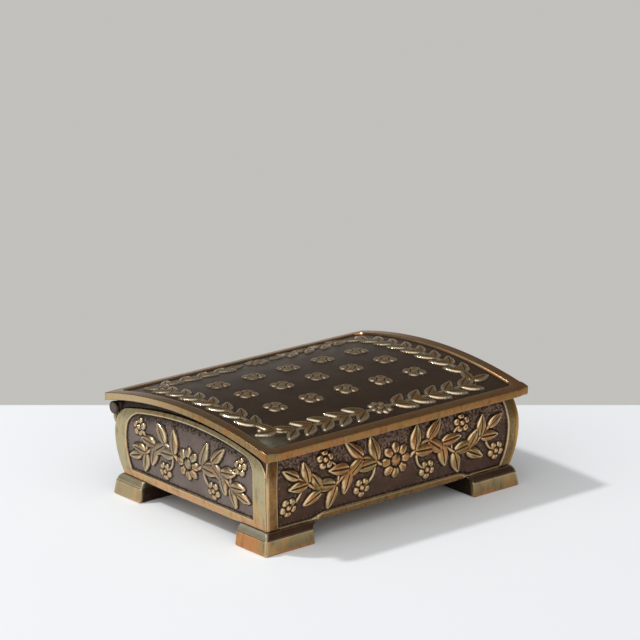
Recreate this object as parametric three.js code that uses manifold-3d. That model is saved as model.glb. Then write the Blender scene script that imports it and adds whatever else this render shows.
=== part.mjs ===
// A lidded cast bronze box: four bowed walls with sunk panels on corner feet,
// and an arched, overhanging lid on a pinned hinge.
// Millimetres, +X to the right along the front, +Y to the back, +Z up, origin on the table under the middle.
import * as THREE from 'three';
import { mergeVertices } from 'three/addons/utils/BufferGeometryUtils.js';
import Module from 'manifold-3d';

// Body, measured across the line where the walls bow out most
const bodyLength = 160.5;
const bodyDepth = 118.7;
const bulgeHeight = 32;
const baseTuck = 3.2; // the walls draw in by this much at the ends' lower edge
const topTuck = 2.9; // and by this much at the height of the lid's front edge
const wallThickness = 2.8;
const frontSkirt = 9.6; // lower edge of the front and back between the feet
const endSkirt = 10.1; // lower edge of the ends between the feet

// Sunk panels
const panelDepth = 1;
const frontPost = 7; // plain strip left at each corner of the front
const frontRail = 3.6; // plain strip left along the bottom of the front
const footFillet = 0.6; // plain line left over a front foot
const railBend = 7; // run of the curve where the front panel drops from the rail to a foot
const hingeStrip = 0.8; // plain strip left on the back below the hinge lugs
const endPost = 9.9; // plain strip left at each corner of an end
const endRail = 4.6; // plain strip left along the bottom of an end
const endPanelDrop = 7.2; // from the lid's underside down to the arched top of an end panel
const endPanelCorner = 6;
const frameWidth = 2.3; // plain strip left over the arched top of an end panel
const frameShoulder = 8; // that strip's outer edge bends down to the corners over this run
const recessDepth = 0.8; // an end steps back by this much between the strip and the lid

// Lid
const endOverhang = 2.25; // beyond the ends' widest line
const frontOverhang = 4.45; // beyond the front's and the back's widest line
const lidSeat = 47.6; // height of the lid's underside at its front and back edges
const lidRise = 8.4; // the underside's arch above that
const lidThickness = 1.75; // of the sunk field, at the crown
const lidEdge = 2.45; // and towards the front and back edges
const rimWidth = 6.2;
const rimHeight = 1.05;
const cornerRun = 6.2; // corners cut off: length taken from the front or back edge
const cornerStep = 1.2; // and from the end's edge
const fieldCorner = 4;

// Cast relief on the panels: a flower in the middle, a wavy leaf branch to each side and florets in its hollows
const panelRelief = 1.2; // height above a panel's sunk ground
const sprayHeight = 34.4; // height of the panel that the sizes below are for
const rosetteRadius = 9.4;
const floretRadius = 5.2;
const floretOffset = 9.6; // from a branch's middle line
const leafLength = 14.6;
const leafWidth = 7.2;
const leafPitch = 8.6; // between pairs of leaves
const leafSpread = 40; // degrees, from the stem
const waveHeight = 5.6;
const waveLength = 45;
const sprayMargin = 1; // from a branch's tip to what it ends at
const endSprayShare = 0.75; // an end's relief is as high as its panel is at this share of the way to its side

// Cast relief on the lid: a leaf band inside the rim, round rows of florets
const lidRelief = 0.8; // height above the field
const bandInset = 10.4; // from the rim to the band's stem
const bandCorner = 11;
const bandLeafLength = 12.6;
const bandLeafWidth = 5.8;
const bandPitch = 10.8;
const bandSpread = 34; // degrees
const bandRosette = 6.2;
const fieldFloret = 6;
const fieldPitch = 22;
const fieldColumns = 5;
const fieldRows = 3;

// Forms of leaves and flowers
const leafFullness = 0.8;
const leafStations = [0.22, 0.62]; // shares of a leaf's length where its outline has points
const leafTaper = 0.18; // leaves get smaller by this share along a branch
const pairShift = 0.25; // share of the pitch before a branch's first pair
const tipShare = 0.8; // size of the leaf at a branch's tip
const stemWidth = 2;
const stemSteps = 12;
const petalNotch = 0.25; // share of a flower's radius taken out between petals
const rosettePetals = 8;
const floretPetals = 5;
const fieldPetals = 4;

// Feet and floor
const footLength = 30; // along the front, at the sole
const footDepth = 21.4; // along the ends
const footHeight = 10.4;
const footBlock = 7.2; // height of the plain block under the cove
const coveSpread = 2.5; // the block stands out from the wall by this much
const footDraft = 0.9; // and by this much more at the sole
const bracketRadius = 2.2; // curve from a foot's inner side up to the front's lower edge
const floorHeight = 12.4;
const floorThickness = 2;

// Hinge
const hingeInset = 0.65; // from the back's widest line in to the pin's axis
const hingeDrop = 4.75; // from the lid's underside down to the axis
const barrelRadius = 3;
const pinRadius = 1.6;
const pinHeadLength = 1.9;
const pinHeadRound = 0.6;
const lugLength = 13;
const lugReach = 2.4; // the lugs' back faces, behind the axis
const lugDrop = 8.2; // the lugs' lower ends, below the axis
const lugTaper = 2; // sloped part of a lug's lower end
const webHalf = 2.2; // half the width of the web that hangs a knuckle from the lid

// Clearances
const seatGap = 0.2; // between pieces fixed to each other
const lidGap = 0.3; // between the closed lid and the walls
const boreGap = 0.15; // round the pin
const runGap = 0.4; // beside and round the turning knuckles

// Fineness
const wallSteps = 12;
const archSteps = 16;
const panelSteps = 10;
const roundSteps = 24;
const coveSteps = 8;
const edgeSteps = 4;

// Sizes that follow from those above
const lidLength = bodyLength + 2 * endOverhang;
const lidDepth = bodyDepth + 2 * frontOverhang;
const archRadius = (lidDepth ** 2 / 4 + lidRise ** 2) / (2 * lidRise);
const archCentre = lidSeat + lidRise - archRadius;
const crown = lidSeat + lidRise;
const topRise = lidRise + lidThickness - lidEdge;
const topRadius = (lidDepth ** 2 / 4 + topRise ** 2) / (2 * topRise);
const topCentre = crown + lidThickness - topRadius;
const axisY = bodyDepth / 2 - hingeInset;
const axisZ = archHeight(axisY, archRadius) - hingeDrop;
const hingeSeat = axisZ - barrelRadius - runGap;
const footTuck = tuckAt(footHeight);
const soleSpread = coveSpread + footDraft;
const footInnerX = bodyLength / 2 - footTuck + soleSpread - footLength;
const footInnerY = bodyDepth / 2 - footTuck + soleSpread - footDepth;
const lugOuter = bodyLength / 2 - tuckAt(axisZ);
const clear = 20; // cutters reach this far past what they cut

const wasm = await Module();
wasm.setup();

// How far a wall's outer face lies inside its widest line, at a height.
// Two half parabolas meet at the widest line.
function tuckAt(z) {
  if (z < bulgeHeight) return baseTuck * ((bulgeHeight - z) / (bulgeHeight - endSkirt)) ** 2;
  return topTuck * ((z - bulgeHeight) / (lidSeat - bulgeHeight)) ** 2;
}

// Height of the lid's arch, of some radius round its centre, at a distance from the middle.
function archHeight(y, radius) {
  return archCentre + Math.sqrt(radius ** 2 - y ** 2);
}

// Turns a three.js geometry into a solid that can be cut and joined.
function solid(geometry) {
  const bare = geometry.clone();
  bare.deleteAttribute('normal');
  bare.deleteAttribute('uv');
  const merged = mergeVertices(bare);
  const vertProperties = merged.attributes.position.array;
  const triVerts = new Uint32Array(merged.index.array);
  return new wasm.Manifold(new wasm.Mesh({ numProp: 3, vertProperties, triVerts }));
}

// Turns a solid back into a geometry.
function geometryOf(body) {
  const { vertProperties, triVerts } = body.getMesh();
  const geometry = new THREE.BufferGeometry();
  geometry.setAttribute('position', new THREE.BufferAttribute(vertProperties, 3));
  geometry.setIndex(new THREE.BufferAttribute(triVerts, 1));
  return geometry.toNonIndexed();
}

function extrude(shape, depth, curveSegments) {
  return new THREE.ExtrudeGeometry(shape, { depth, curveSegments, bevelEnabled: false });
}

// Shapes drawn in (y, z) and carried along X.
function alongX(shape, from, to, curveSegments = roundSteps) {
  const axes = new THREE.Matrix4().makeBasis(
    new THREE.Vector3(0, 1, 0),
    new THREE.Vector3(0, 0, 1),
    new THREE.Vector3(1, 0, 0),
  );
  return extrude(shape, to - from, curveSegments).applyMatrix4(axes).translate(from, 0, 0);
}

// Shapes drawn in (x, z) and carried along Y.
function alongY(shape, from, to, curveSegments = roundSteps) {
  const axes = new THREE.Matrix4().makeBasis(
    new THREE.Vector3(1, 0, 0),
    new THREE.Vector3(0, 0, 1),
    new THREE.Vector3(0, -1, 0),
  );
  return extrude(shape, to - from, curveSegments).applyMatrix4(axes).translate(0, to, 0);
}

// Shapes drawn in (x, y) and carried up.
function alongZ(shape, from, to, curveSegments = roundSteps) {
  return extrude(shape, to - from, curveSegments).translate(0, 0, from);
}

function block(x0, x1, y0, y1, z0, z1) {
  const box = new THREE.BoxGeometry(x1 - x0, y1 - y0, z1 - z0);
  return box.translate((x0 + x1) / 2, (y0 + y1) / 2, (z0 + z1) / 2);
}

// Rectangle in plan with each corner cut off along a slanted line.
function clippedPlan(halfX, halfY, run, step) {
  const plan = new THREE.Shape();
  plan.moveTo(halfX - run, -halfY);
  plan.lineTo(halfX, step - halfY);
  plan.lineTo(halfX, halfY - step);
  plan.lineTo(halfX - run, halfY);
  plan.lineTo(run - halfX, halfY);
  plan.lineTo(-halfX, halfY - step);
  plan.lineTo(-halfX, step - halfY);
  plan.lineTo(run - halfX, -halfY);
  return plan;
}

// Rectangle in plan with round corners.
function roundPlan(halfX, halfY, radius) {
  const plan = new THREE.Shape();
  plan.absarc(halfX - radius, radius - halfY, radius, -Math.PI / 2, 0);
  plan.absarc(halfX - radius, halfY - radius, radius, 0, Math.PI / 2);
  plan.absarc(radius - halfX, halfY - radius, radius, Math.PI / 2, Math.PI);
  plan.absarc(radius - halfX, radius - halfY, radius, Math.PI, 1.5 * Math.PI);
  return plan;
}

// Everything under an arch, across a half width, down to a floor height.
// Without a centre of its own the arch is concentric with the lid's underside.
function underArch(radius, halfWidth, floor, centre = archCentre) {
  const half = Math.asin(halfWidth / radius);
  const shape = new THREE.Shape();
  shape.moveTo(-halfWidth, floor);
  shape.lineTo(halfWidth, floor);
  shape.absarc(0, centre, radius, Math.PI / 2 - half, Math.PI / 2 + half);
  return shape;
}

// A bowed wall with its face towards -Y and its ends mitred at 45 degrees.
// Its section runs from one depth behind the bowed face to another, and from one height to another.
function bowedWall(length, depth, front, back, bottom, top) {
  const rise = (top - bottom) / wallSteps;
  const heights = Array.from({ length: wallSteps + 1 }, (_, i) => bottom + rise * i);
  const outer = heights.map((z) => new THREE.Vector2(tuckAt(z) + front, z));
  const inner = heights.map((z) => new THREE.Vector2(tuckAt(z) + back, z));
  const section = new THREE.Shape([...inner, ...outer.reverse()]);
  const geometry = extrude(section, 1, 1);
  const points = geometry.attributes.position;
  for (let i = 0; i < points.count; i += 1) {
    const inset = points.getX(i);
    const side = 2 * points.getZ(i) - 1;
    points.setXYZ(i, side * (length / 2 - inset - seatGap), inset - depth / 2, points.getY(i));
  }
  return solid(geometry);
}

// Sinks a panel into a wall: the panel's outline is cut away down to the sunk ground.
function sinkPanel(wall, outline, length, depth, bottom, sink) {
  const ground = bowedWall(length + clear, depth, sink, clear, bottom - seatGap, crown + seatGap);
  const cutter = solid(alongY(outline, -depth / 2 - clear, clear / 2 - depth / 2, panelSteps));
  return wall.subtract(cutter.subtract(ground));
}

// Points of a panel's side, which keeps one distance from the wall's mitred corner.
function sidePoints(length, post, bottom, top, side) {
  return Array.from({ length: wallSteps + 1 }, (_, i) => {
    const z = bottom + ((top - bottom) * i) / wallSteps;
    return new THREE.Vector2(side * (length / 2 - tuckAt(z) - post), z);
  });
}

// Front or back panel, up to a height: it drops beside the rail to a line over each foot.
function longPanel(top) {
  const low = footHeight + footFillet;
  const high = frontSkirt + frontRail;
  const bendStart = footInnerX + railBend / 2;
  const bendEnd = footInnerX - railBend / 2;
  const shape = new THREE.Shape(sidePoints(bodyLength, frontPost, low, top, -1).reverse());
  shape.lineTo(-bendStart, low);
  shape.bezierCurveTo(-footInnerX, low, -footInnerX, high, -bendEnd, high);
  shape.lineTo(bendEnd, high);
  shape.bezierCurveTo(footInnerX, high, footInnerX, low, bendStart, low);
  sidePoints(bodyLength, frontPost, low, top, 1).forEach((p) => shape.lineTo(p.x, p.y));
  return shape;
}

// End panel: bowed sides, rounded shoulders and a top concentric with the lid.
function endPanel() {
  const corner = endPanelCorner;
  const radius = archRadius - endPanelDrop;
  const low = endSkirt + endRail;
  const edge = bodyDepth / 2 - tuckAt(bulgeHeight + corner) - endPost;
  const shoulder = archHeight(edge, radius);
  const half = Math.asin((edge - corner) / radius);
  const shape = new THREE.Shape(sidePoints(bodyDepth, endPost, low, shoulder - corner, -1).reverse());
  sidePoints(bodyDepth, endPost, low, shoulder - corner, 1).forEach((p) => shape.lineTo(p.x, p.y));
  shape.quadraticCurveTo(edge, shoulder, edge - corner, archHeight(edge - corner, radius));
  shape.absarc(0, archCentre, radius, Math.PI / 2 - half, Math.PI / 2 + half);
  const last = sidePoints(bodyDepth, endPost, low, shoulder - corner, -1).at(-1);
  shape.quadraticCurveTo(-edge, shoulder, last.x, last.y);
  return shape;
}

// Band of an end above its framed panel: its lower edge follows the lid and bends down to the corners.
function endRecess() {
  const edge = bodyDepth / 2;
  const radius = archRadius - endPanelDrop + frameWidth;
  const shoulder = archHeight(edge, radius);
  const half = Math.asin((edge - frameShoulder) / radius);
  const bend = shoulder - frameShoulder;
  const shape = new THREE.Shape();
  shape.moveTo(edge + clear, bend);
  shape.lineTo(edge + clear, crown + clear);
  shape.lineTo(-edge - clear, crown + clear);
  shape.lineTo(-edge - clear, bend);
  shape.lineTo(-edge, bend);
  shape.quadraticCurveTo(-edge, shoulder, frameShoulder - edge, archHeight(edge - frameShoulder, radius));
  shape.absarc(0, archCentre, radius, Math.PI / 2 + half, Math.PI / 2 - half, true);
  shape.quadraticCurveTo(edge, shoulder, edge, bend);
  return shape;
}

// A leaf, from its foot along a heading: half its width follows a sine along its length.
function leafOutline([x, y, heading], length, width) {
  const half = (t) => (width / 2) * Math.sin(Math.PI * t ** leafFullness) ** leafFullness;
  const side = (sign) => leafStations.map((t) => [t * length, sign * half(t)]);
  const corners = [[0, 0], ...side(-1), [length, 0], ...side(1).reverse()];
  const [cos, sin] = [Math.cos(heading), Math.sin(heading)];
  const place = ([along, across]) => new THREE.Vector2(
    x + along * cos - across * sin,
    y + along * sin + across * cos,
  );
  return new THREE.Shape(corners.map(place));
}

// A flower, with a notch between each two petals.
function flowerOutline(x, y, radius, petals, turn) {
  const points = Array.from({ length: 2 * petals }, (_, i) => {
    const reach = i % 2 ? radius * (1 - petalNotch) : radius;
    const angle = turn + (Math.PI * i) / petals;
    return new THREE.Vector2(x + reach * Math.cos(angle), y + reach * Math.sin(angle));
  });
  return new THREE.Shape(points);
}

// A strip along a path, which gives [x, y, heading] at a distance.
function stemOutline(at, reach) {
  const stations = Array.from({ length: stemSteps + 1 }, (_, i) => at((reach * i) / stemSteps));
  const side = (half) => stations.map(([x, y, heading]) => {
    return new THREE.Vector2(x - half * Math.sin(heading), y + half * Math.cos(heading));
  });
  return new THREE.Shape([...side(-stemWidth / 2), ...side(stemWidth / 2).reverse()]);
}

// A stem with pairs of leaves along a path, and one leaf at its tip.
function branchOutlines(at, reach, pitch, length, width, spread) {
  const outlines = [stemOutline(at, reach)];
  const pairs = Math.max(Math.round(reach / pitch), 1);
  const angle = (spread / 180) * Math.PI;
  for (let k = 0; k < pairs; k += 1) {
    const [x, y, heading] = at((reach / pairs) * (k + pairShift));
    const size = 1 - (leafTaper * k) / pairs;
    outlines.push(leafOutline([x, y, heading - angle], length * size, width * size));
    outlines.push(leafOutline([x, y, heading + angle], length * size, width * size));
  }
  outlines.push(leafOutline(at(reach - stemWidth / 2), length * tipShare, width * tipShare));
  return outlines;
}

// Relief of a panel between two heights, out to its sides.
function sprayOutlines(low, high, half) {
  const scale = (high - low) / sprayHeight;
  const middle = (high + low) / 2;
  const [radius, floret, leaf] = [rosetteRadius, floretRadius, leafLength].map((size) => size * scale);
  const reach = half - radius - tipShare * leaf - sprayMargin;
  const hollow = (waveLength * scale) / 2;
  const outlines = [flowerOutline(0, middle, radius, rosettePetals, 0)];
  for (const side of [-1, 1]) {
    const at = (s) => {
      const phase = (Math.PI * s) / hollow;
      const slope = ((2 * Math.PI * waveHeight) / waveLength) * Math.cos(phase);
      return [side * (radius + s), middle + waveHeight * scale * Math.sin(phase), Math.atan2(slope, side)];
    };
    outlines.push(...branchOutlines(at, reach, leafPitch * scale, leaf, leafWidth * scale, leafSpread));
    const last = reach + tipShare * leaf - floret;
    for (let k = 0; hollow * (k + 1 / 2) < last; k += 1) {
      const up = k % 2 ? 1 : -1;
      const [x] = at(hollow * (k + 1 / 2));
      const y = middle + up * floretOffset * scale;
      outlines.push(flowerOutline(x, y, floret, floretPetals, (up * Math.PI) / 2));
    }
  }
  return outlines;
}

// Raises outlines on a panel, from inside the wall up to the relief's height.
function raiseOnPanel(wall, outlines, length, depth, bottom) {
  const layer = bowedWall(length, depth, panelDepth - panelRelief, wallThickness / 2, bottom, crown);
  const prisms = outlines.map((outline) => solid(alongY(outline, -depth / 2 - clear, clear / 2 - depth / 2)));
  return wall.add(wasm.Manifold.union(prisms).intersect(layer));
}

// How far a foot's inner side curves towards the middle at a height, to meet the front's lower edge.
function bracketShift(z) {
  const rise = Math.min(Math.max(z - frontSkirt + bracketRadius, 0), bracketRadius);
  return bracketRadius - Math.sqrt(bracketRadius ** 2 - rise ** 2);
}

// Lowest point of a wall that has one lower edge between the feet and sits on the feet beside it.
function wallBottom(skirt) {
  return Math.min(skirt, footHeight + seatGap);
}

// Trims a wall to its lower edge between the feet, out to an inner distance, and to the feet beyond it.
function standOnFeet(wall, skirt, inner, length, depth) {
  const [low, far] = [wallBottom(skirt) - clear, length / 2 + clear];
  const [front, back] = [-depth / 2 - clear, clear - depth / 2];
  const middle = solid(block(-inner, inner, front, back, low, skirt));
  const left = solid(block(-far, -inner, front, back, low, footHeight + seatGap));
  const right = solid(block(inner, far, front, back, low, footHeight + seatGap));
  return wall.subtract(middle).subtract(left).subtract(right);
}

function underLid(length, depth) {
  const y = depth / 2 + clear;
  return solid(alongX(underArch(archRadius - lidGap, y, 0), -length, length, archSteps));
}

function longWall(panelTop, reliefTop) {
  const bottom = wallBottom(frontSkirt);
  const inner = footInnerX - bracketShift(footHeight) - seatGap;
  const whole = bowedWall(bodyLength, bodyDepth, 0, wallThickness, bottom, crown);
  const panelled = sinkPanel(whole, longPanel(panelTop), bodyLength, bodyDepth, bottom, panelDepth);
  const spray = sprayOutlines(frontSkirt + frontRail, reliefTop, bodyLength / 2 - frontPost);
  const wall = raiseOnPanel(panelled, spray, bodyLength, bodyDepth, bottom);
  return standOnFeet(wall, frontSkirt, inner, bodyLength, bodyDepth);
}

// The front's panel runs up out of sight under the lid.
function frontWall() {
  return longWall(crown, lidSeat).intersect(underLid(bodyLength, bodyDepth));
}

// The back is lower than the front, to leave room for the hinge along its top.
function backWall() {
  const x = bodyLength / 2 + clear;
  const panelTop = axisZ - lugDrop - hingeStrip;
  const wall = longWall(panelTop, panelTop);
  return wall.subtract(solid(block(-x, x, -bodyDepth, 0, hingeSeat, crown + clear)));
}

// An end in its own frame, face towards -Y; the hinge is on the side given by its sign.
function endWall(hingeSide) {
  const bottom = wallBottom(endSkirt);
  const x = bodyDepth / 2 + clear;
  const near = -bodyLength / 2 - clear;
  const far = clear / 2 - bodyLength / 2;
  const whole = bowedWall(bodyDepth, bodyLength, 0, wallThickness, bottom, crown);
  const panelled = sinkPanel(whole, endPanel(), bodyDepth, bodyLength, bottom, panelDepth);
  const half = bodyDepth / 2 - endPost;
  const reliefTop = archHeight(half * endSprayShare, archRadius - endPanelDrop);
  const spray = sprayOutlines(endSkirt + endRail, reliefTop, half);
  const raised = raiseOnPanel(panelled, spray, bodyDepth, bodyLength, bottom);
  const wall = standOnFeet(raised, endSkirt, footInnerY - seatGap, bodyDepth, bodyLength);
  const stepped = sinkPanel(wall, endRecess(), bodyDepth, bodyLength, bottom, recessDepth);
  const under = underArch(archRadius - lidGap, x, 0);
  const top = solid(alongY(under, -bodyLength, bodyLength, archSteps));
  const notch = axisY - barrelRadius - runGap;
  const [from, to] = hingeSide > 0 ? [notch, x] : [-x, -notch];
  const hinge = solid(block(from, to, near, far, hingeSeat, crown + clear));
  return stepped.intersect(top).subtract(hinge);
}

// One foot, for the corner at -X and -Y: a drafted block under a cove,
// with a pad inside that carries the floor.
function foot() {
  const levels = [new THREE.Vector2(soleSpread, 0)];
  for (let i = 0; i <= coveSteps; i += 1) {
    const angle = (Math.PI / 2) * (i / coveSteps);
    const z = footHeight - (footHeight - footBlock) * Math.cos(angle);
    levels.push(new THREE.Vector2(coveSpread * (1 - Math.sin(angle)), z));
  }
  const rings = levels.map(({ x: spread, y: z }) => {
    const x0 = footTuck - bodyLength / 2 - spread;
    const y0 = footTuck - bodyDepth / 2 - spread;
    const x1 = bracketShift(z) - footInnerX;
    const y1 = -footInnerY;
    return [[x0, y0, z], [x1, y0, z], [x1, y1, z], [x0, y1, z]];
  });
  const inside = footTuck + wallThickness + seatGap;
  const padX = inside - bodyLength / 2;
  const padY = inside - bodyDepth / 2;
  const pad = block(padX, -footInnerX, padY, -footInnerY, footHeight / 2, floorHeight - seatGap);
  return solid(loft(rings)).add(solid(pad));
}

// Closed body through rings of four corners, bottom to top.
function loft(rings) {
  const corners = rings[0].length;
  const index = [];
  for (let level = 0; level + 1 < rings.length; level += 1) {
    for (let i = 0; i < corners; i += 1) {
      const a = level * corners + i;
      const b = level * corners + ((i + 1) % corners);
      index.push(a, b, b + corners, a, b + corners, a + corners);
    }
  }
  const last = (rings.length - 1) * corners;
  for (let i = 1; i + 1 < corners; i += 1) {
    index.push(0, i + 1, i, last, last + i, last + i + 1);
  }
  const geometry = new THREE.BufferGeometry();
  geometry.setAttribute('position', new THREE.Float32BufferAttribute(rings.flat(2), 3));
  geometry.setIndex(index);
  return geometry;
}

function floorPlate() {
  const inside = tuckAt(floorHeight) + wallThickness + seatGap;
  const x = bodyLength / 2 - inside;
  const y = bodyDepth / 2 - inside;
  return block(-x, x, -y, y, floorHeight, floorHeight + floorThickness);
}

// Relief of the lid: half of the band runs from the middle of the front to the middle of the back.
function lidOutlines() {
  const halfX = lidLength / 2 - rimWidth - bandInset;
  const halfY = lidDepth / 2 - rimWidth - bandInset;
  const band = new THREE.Path();
  band.moveTo(0, -halfY);
  band.absarc(halfX - bandCorner, bandCorner - halfY, bandCorner, -Math.PI / 2, 0);
  band.absarc(halfX - bandCorner, halfY - bandCorner, bandCorner, 0, Math.PI / 2);
  band.lineTo(0, halfY);
  const length = band.getLength();
  const reach = length - 2 * bandRosette - tipShare * bandLeafLength - sprayMargin;
  const outlines = [-halfY, halfY].map((y) => flowerOutline(0, y, bandRosette, rosettePetals, 0));
  for (const side of [-1, 1]) {
    const at = (s) => {
      const point = band.getPoint((bandRosette + s) / length);
      const tangent = band.getTangent((bandRosette + s) / length);
      return [side * point.x, point.y, Math.atan2(tangent.y, side * tangent.x)];
    };
    outlines.push(...branchOutlines(at, reach, bandPitch, bandLeafLength, bandLeafWidth, bandSpread));
  }
  for (let i = 0; i < fieldColumns; i += 1) {
    for (let j = 0; j < fieldRows; j += 1) {
      const x = fieldPitch * (i - (fieldColumns - 1) / 2);
      const y = fieldPitch * (j - (fieldRows - 1) / 2);
      outlines.push(flowerOutline(x, y, fieldFloret, fieldPetals, Math.PI / 4));
    }
  }
  return outlines;
}

// The lid: an arched plate whose field is sunk inside a raised rim and carries the relief.
// Its upper face is a little flatter than its underside, so its edges are thicker than its crown.
function lid() {
  const y = lidDepth / 2 + clear;
  const x = lidLength / 2 + clear;
  const under = (radius, centre, floor, reach) => {
    return solid(alongX(underArch(radius, y, floor, centre), -reach, reach, archSteps));
  };
  const plan = clippedPlan(lidLength / 2, lidDepth / 2, cornerRun, cornerStep);
  const field = roundPlan(lidLength / 2 - rimWidth, lidDepth / 2 - rimWidth, fieldCorner);
  const hollow = under(archRadius, archCentre, -clear, x + clear);
  const ground = under(topRadius, topCentre, -clear, x + clear);
  const plate = under(topRadius, topCentre + rimHeight, 0, x).subtract(hollow);
  const above = under(topRadius, topCentre + clear, 0, x).subtract(ground);
  const sunk = above.intersect(solid(alongZ(field, 0, crown + clear)));
  const bare = plate.intersect(solid(alongZ(plan, 0, crown + clear))).subtract(sunk);
  const inside = under(topRadius, topCentre - lidThickness / 2, -clear, x + clear);
  const layer = under(topRadius, topCentre + lidRelief, 0, x).subtract(inside);
  const prisms = lidOutlines().map((outline) => solid(alongZ(outline, 0, crown + clear)));
  return bare.add(wasm.Manifold.union(prisms).intersect(layer));
}

function pinBore(shape) {
  const bore = new THREE.Path();
  bore.absarc(axisY, axisZ, pinRadius + boreGap, 0, 2 * Math.PI, true);
  shape.holes.push(bore);
  return shape;
}

// A lug sits on the back wall's top edge, wraps over its face and ends round about the pin.
function lugSection() {
  const back = axisY + lugReach;
  const lift = Math.sqrt(barrelRadius ** 2 - lugReach ** 2);
  const face = (z) => bodyDepth / 2 - tuckAt(z) + seatGap;
  const seat = hingeSeat + seatGap;
  const low = axisZ - lugDrop;
  const shape = new THREE.Shape();
  shape.moveTo(axisY - barrelRadius, axisZ);
  shape.lineTo(axisY - barrelRadius, seat);
  shape.lineTo(face(seat), seat);
  shape.lineTo(face((seat + low) / 2), (seat + low) / 2);
  shape.lineTo(face(low), low);
  shape.lineTo(back, low + lugTaper);
  shape.absarc(axisY, axisZ, barrelRadius, -Math.atan2(lift, lugReach), Math.PI);
  return pinBore(shape);
}

// A knuckle is a barrel round the pin, hung from the lid's underside by a short web.
function knuckleSection() {
  const top = archRadius - seatGap;
  const side = Math.acos(webHalf / barrelRadius);
  const shape = new THREE.Shape();
  shape.moveTo(axisY + webHalf, archHeight(axisY + webHalf, top));
  shape.lineTo(axisY - webHalf, archHeight(axisY - webHalf, top));
  shape.absarc(axisY, axisZ, barrelRadius, Math.PI - side, 2 * Math.PI + side);
  return pinBore(shape);
}

// Revolves a profile of (radius, distance along X) about the hinge axis.
function turned(profile) {
  return new THREE.LatheGeometry(profile, roundSteps).rotateZ(-Math.PI / 2).translate(0, axisY, axisZ);
}

function buttonEdge(start, end) {
  const points = [];
  const turn = Math.sign(end - start);
  for (let i = 0; i <= edgeSteps; i += 1) {
    const angle = (Math.PI / 2) * (i / edgeSteps);
    const radius = barrelRadius - pinHeadRound * (1 - Math.sin(angle));
    points.push(new THREE.Vector2(radius, start + turn * pinHeadRound * (1 - Math.cos(angle))));
  }
  return [new THREE.Vector2(0, start), ...points, new THREE.Vector2(barrelRadius, end)];
}

// The pin's head stands at its -X end; its other end stops inside the cap.
function pin() {
  const shoulder = -lugOuter - seatGap;
  const tip = lugOuter + seatGap + pinHeadLength / 2 - seatGap;
  const head = buttonEdge(shoulder - pinHeadLength, shoulder);
  const shank = [new THREE.Vector2(pinRadius, shoulder), new THREE.Vector2(pinRadius, tip)];
  return turned([...head, ...shank, new THREE.Vector2(0, tip)]);
}

function pinCap() {
  const shoulder = lugOuter + seatGap;
  const socket = pinRadius + boreGap;
  const depth = shoulder + pinHeadLength / 2;
  const bottom = [new THREE.Vector2(0, depth), new THREE.Vector2(socket, depth)];
  const mouth = new THREE.Vector2(socket, shoulder);
  return turned([...bottom, mouth, ...buttonEdge(shoulder + pinHeadLength, shoulder).reverse()]);
}

const finishes = {
  walls: { color: 0x9c7a50, roughness: 0.38, metalness: 0.9 },
  lid: { color: 0x5a4632, roughness: 0.36, metalness: 0.85 },
  feet: { color: 0xa27b4c, roughness: 0.34, metalness: 0.9 },
  floor: { color: 0x6b5138, roughness: 0.5, metalness: 0.85 },
  hinge: { color: 0x86683f, roughness: 0.4, metalness: 0.9 },
  pin: { color: 0x5b4c42, roughness: 0.42, metalness: 0.85 },
};

function piece(name, geometry, finish) {
  const mesh = new THREE.Mesh(geometry, new THREE.MeshStandardMaterial(finishes[finish]));
  mesh.name = name;
  return mesh;
}

const box = new THREE.Group();
const cover = new THREE.Group();

box.add(piece('front_wall', geometryOf(frontWall()), 'walls'));
const back = piece('back_wall', geometryOf(backWall()), 'walls');
back.rotation.z = Math.PI;
const leftEnd = piece('left_end_wall', geometryOf(endWall(-1)), 'walls');
leftEnd.rotation.z = -Math.PI / 2;
const rightEnd = piece('right_end_wall', geometryOf(endWall(1)), 'walls');
rightEnd.rotation.z = Math.PI / 2;
box.add(back, leftEnd, rightEnd, piece('floor_plate', floorPlate(), 'floor'));

const footGeometry = geometryOf(foot());
for (const [depthName, sideY] of [['front', 1], ['rear', -1]]) {
  for (const [sideName, sideX] of [['left', 1], ['right', -1]]) {
    const corner = piece(`foot_${depthName}_${sideName}`, footGeometry, 'feet');
    corner.scale.set(sideX, sideY, 1);
    box.add(corner);
  }
}

const lugs = { left: -lugOuter, centre: -lugLength / 2, right: lugOuter - lugLength };
for (const [name, start] of Object.entries(lugs)) {
  box.add(piece(`hinge_lug_${name}`, alongX(lugSection(), start, start + lugLength), 'hinge'));
}
box.add(piece('hinge_pin', pin(), 'pin'), piece('hinge_pin_cap', pinCap(), 'pin'));

const knuckles = { left: [lugs.left, lugs.centre], right: [lugs.centre, lugs.right] };
cover.add(piece('lid', geometryOf(lid()), 'lid'));
for (const [name, [before, after]] of Object.entries(knuckles)) {
  const section = alongX(knuckleSection(), before + lugLength + runGap, after - runGap);
  cover.add(piece(`lid_knuckle_${name}`, section, 'hinge'));
}

const whole = new THREE.Group();
whole.add(box, cover);
export default whole;
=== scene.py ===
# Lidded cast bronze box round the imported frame: relief walls, arched lid, feet with a quarter roll, pinned hinge
import bmesh
import bpy
import numpy as np
from mathutils import Matrix, Vector


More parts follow.
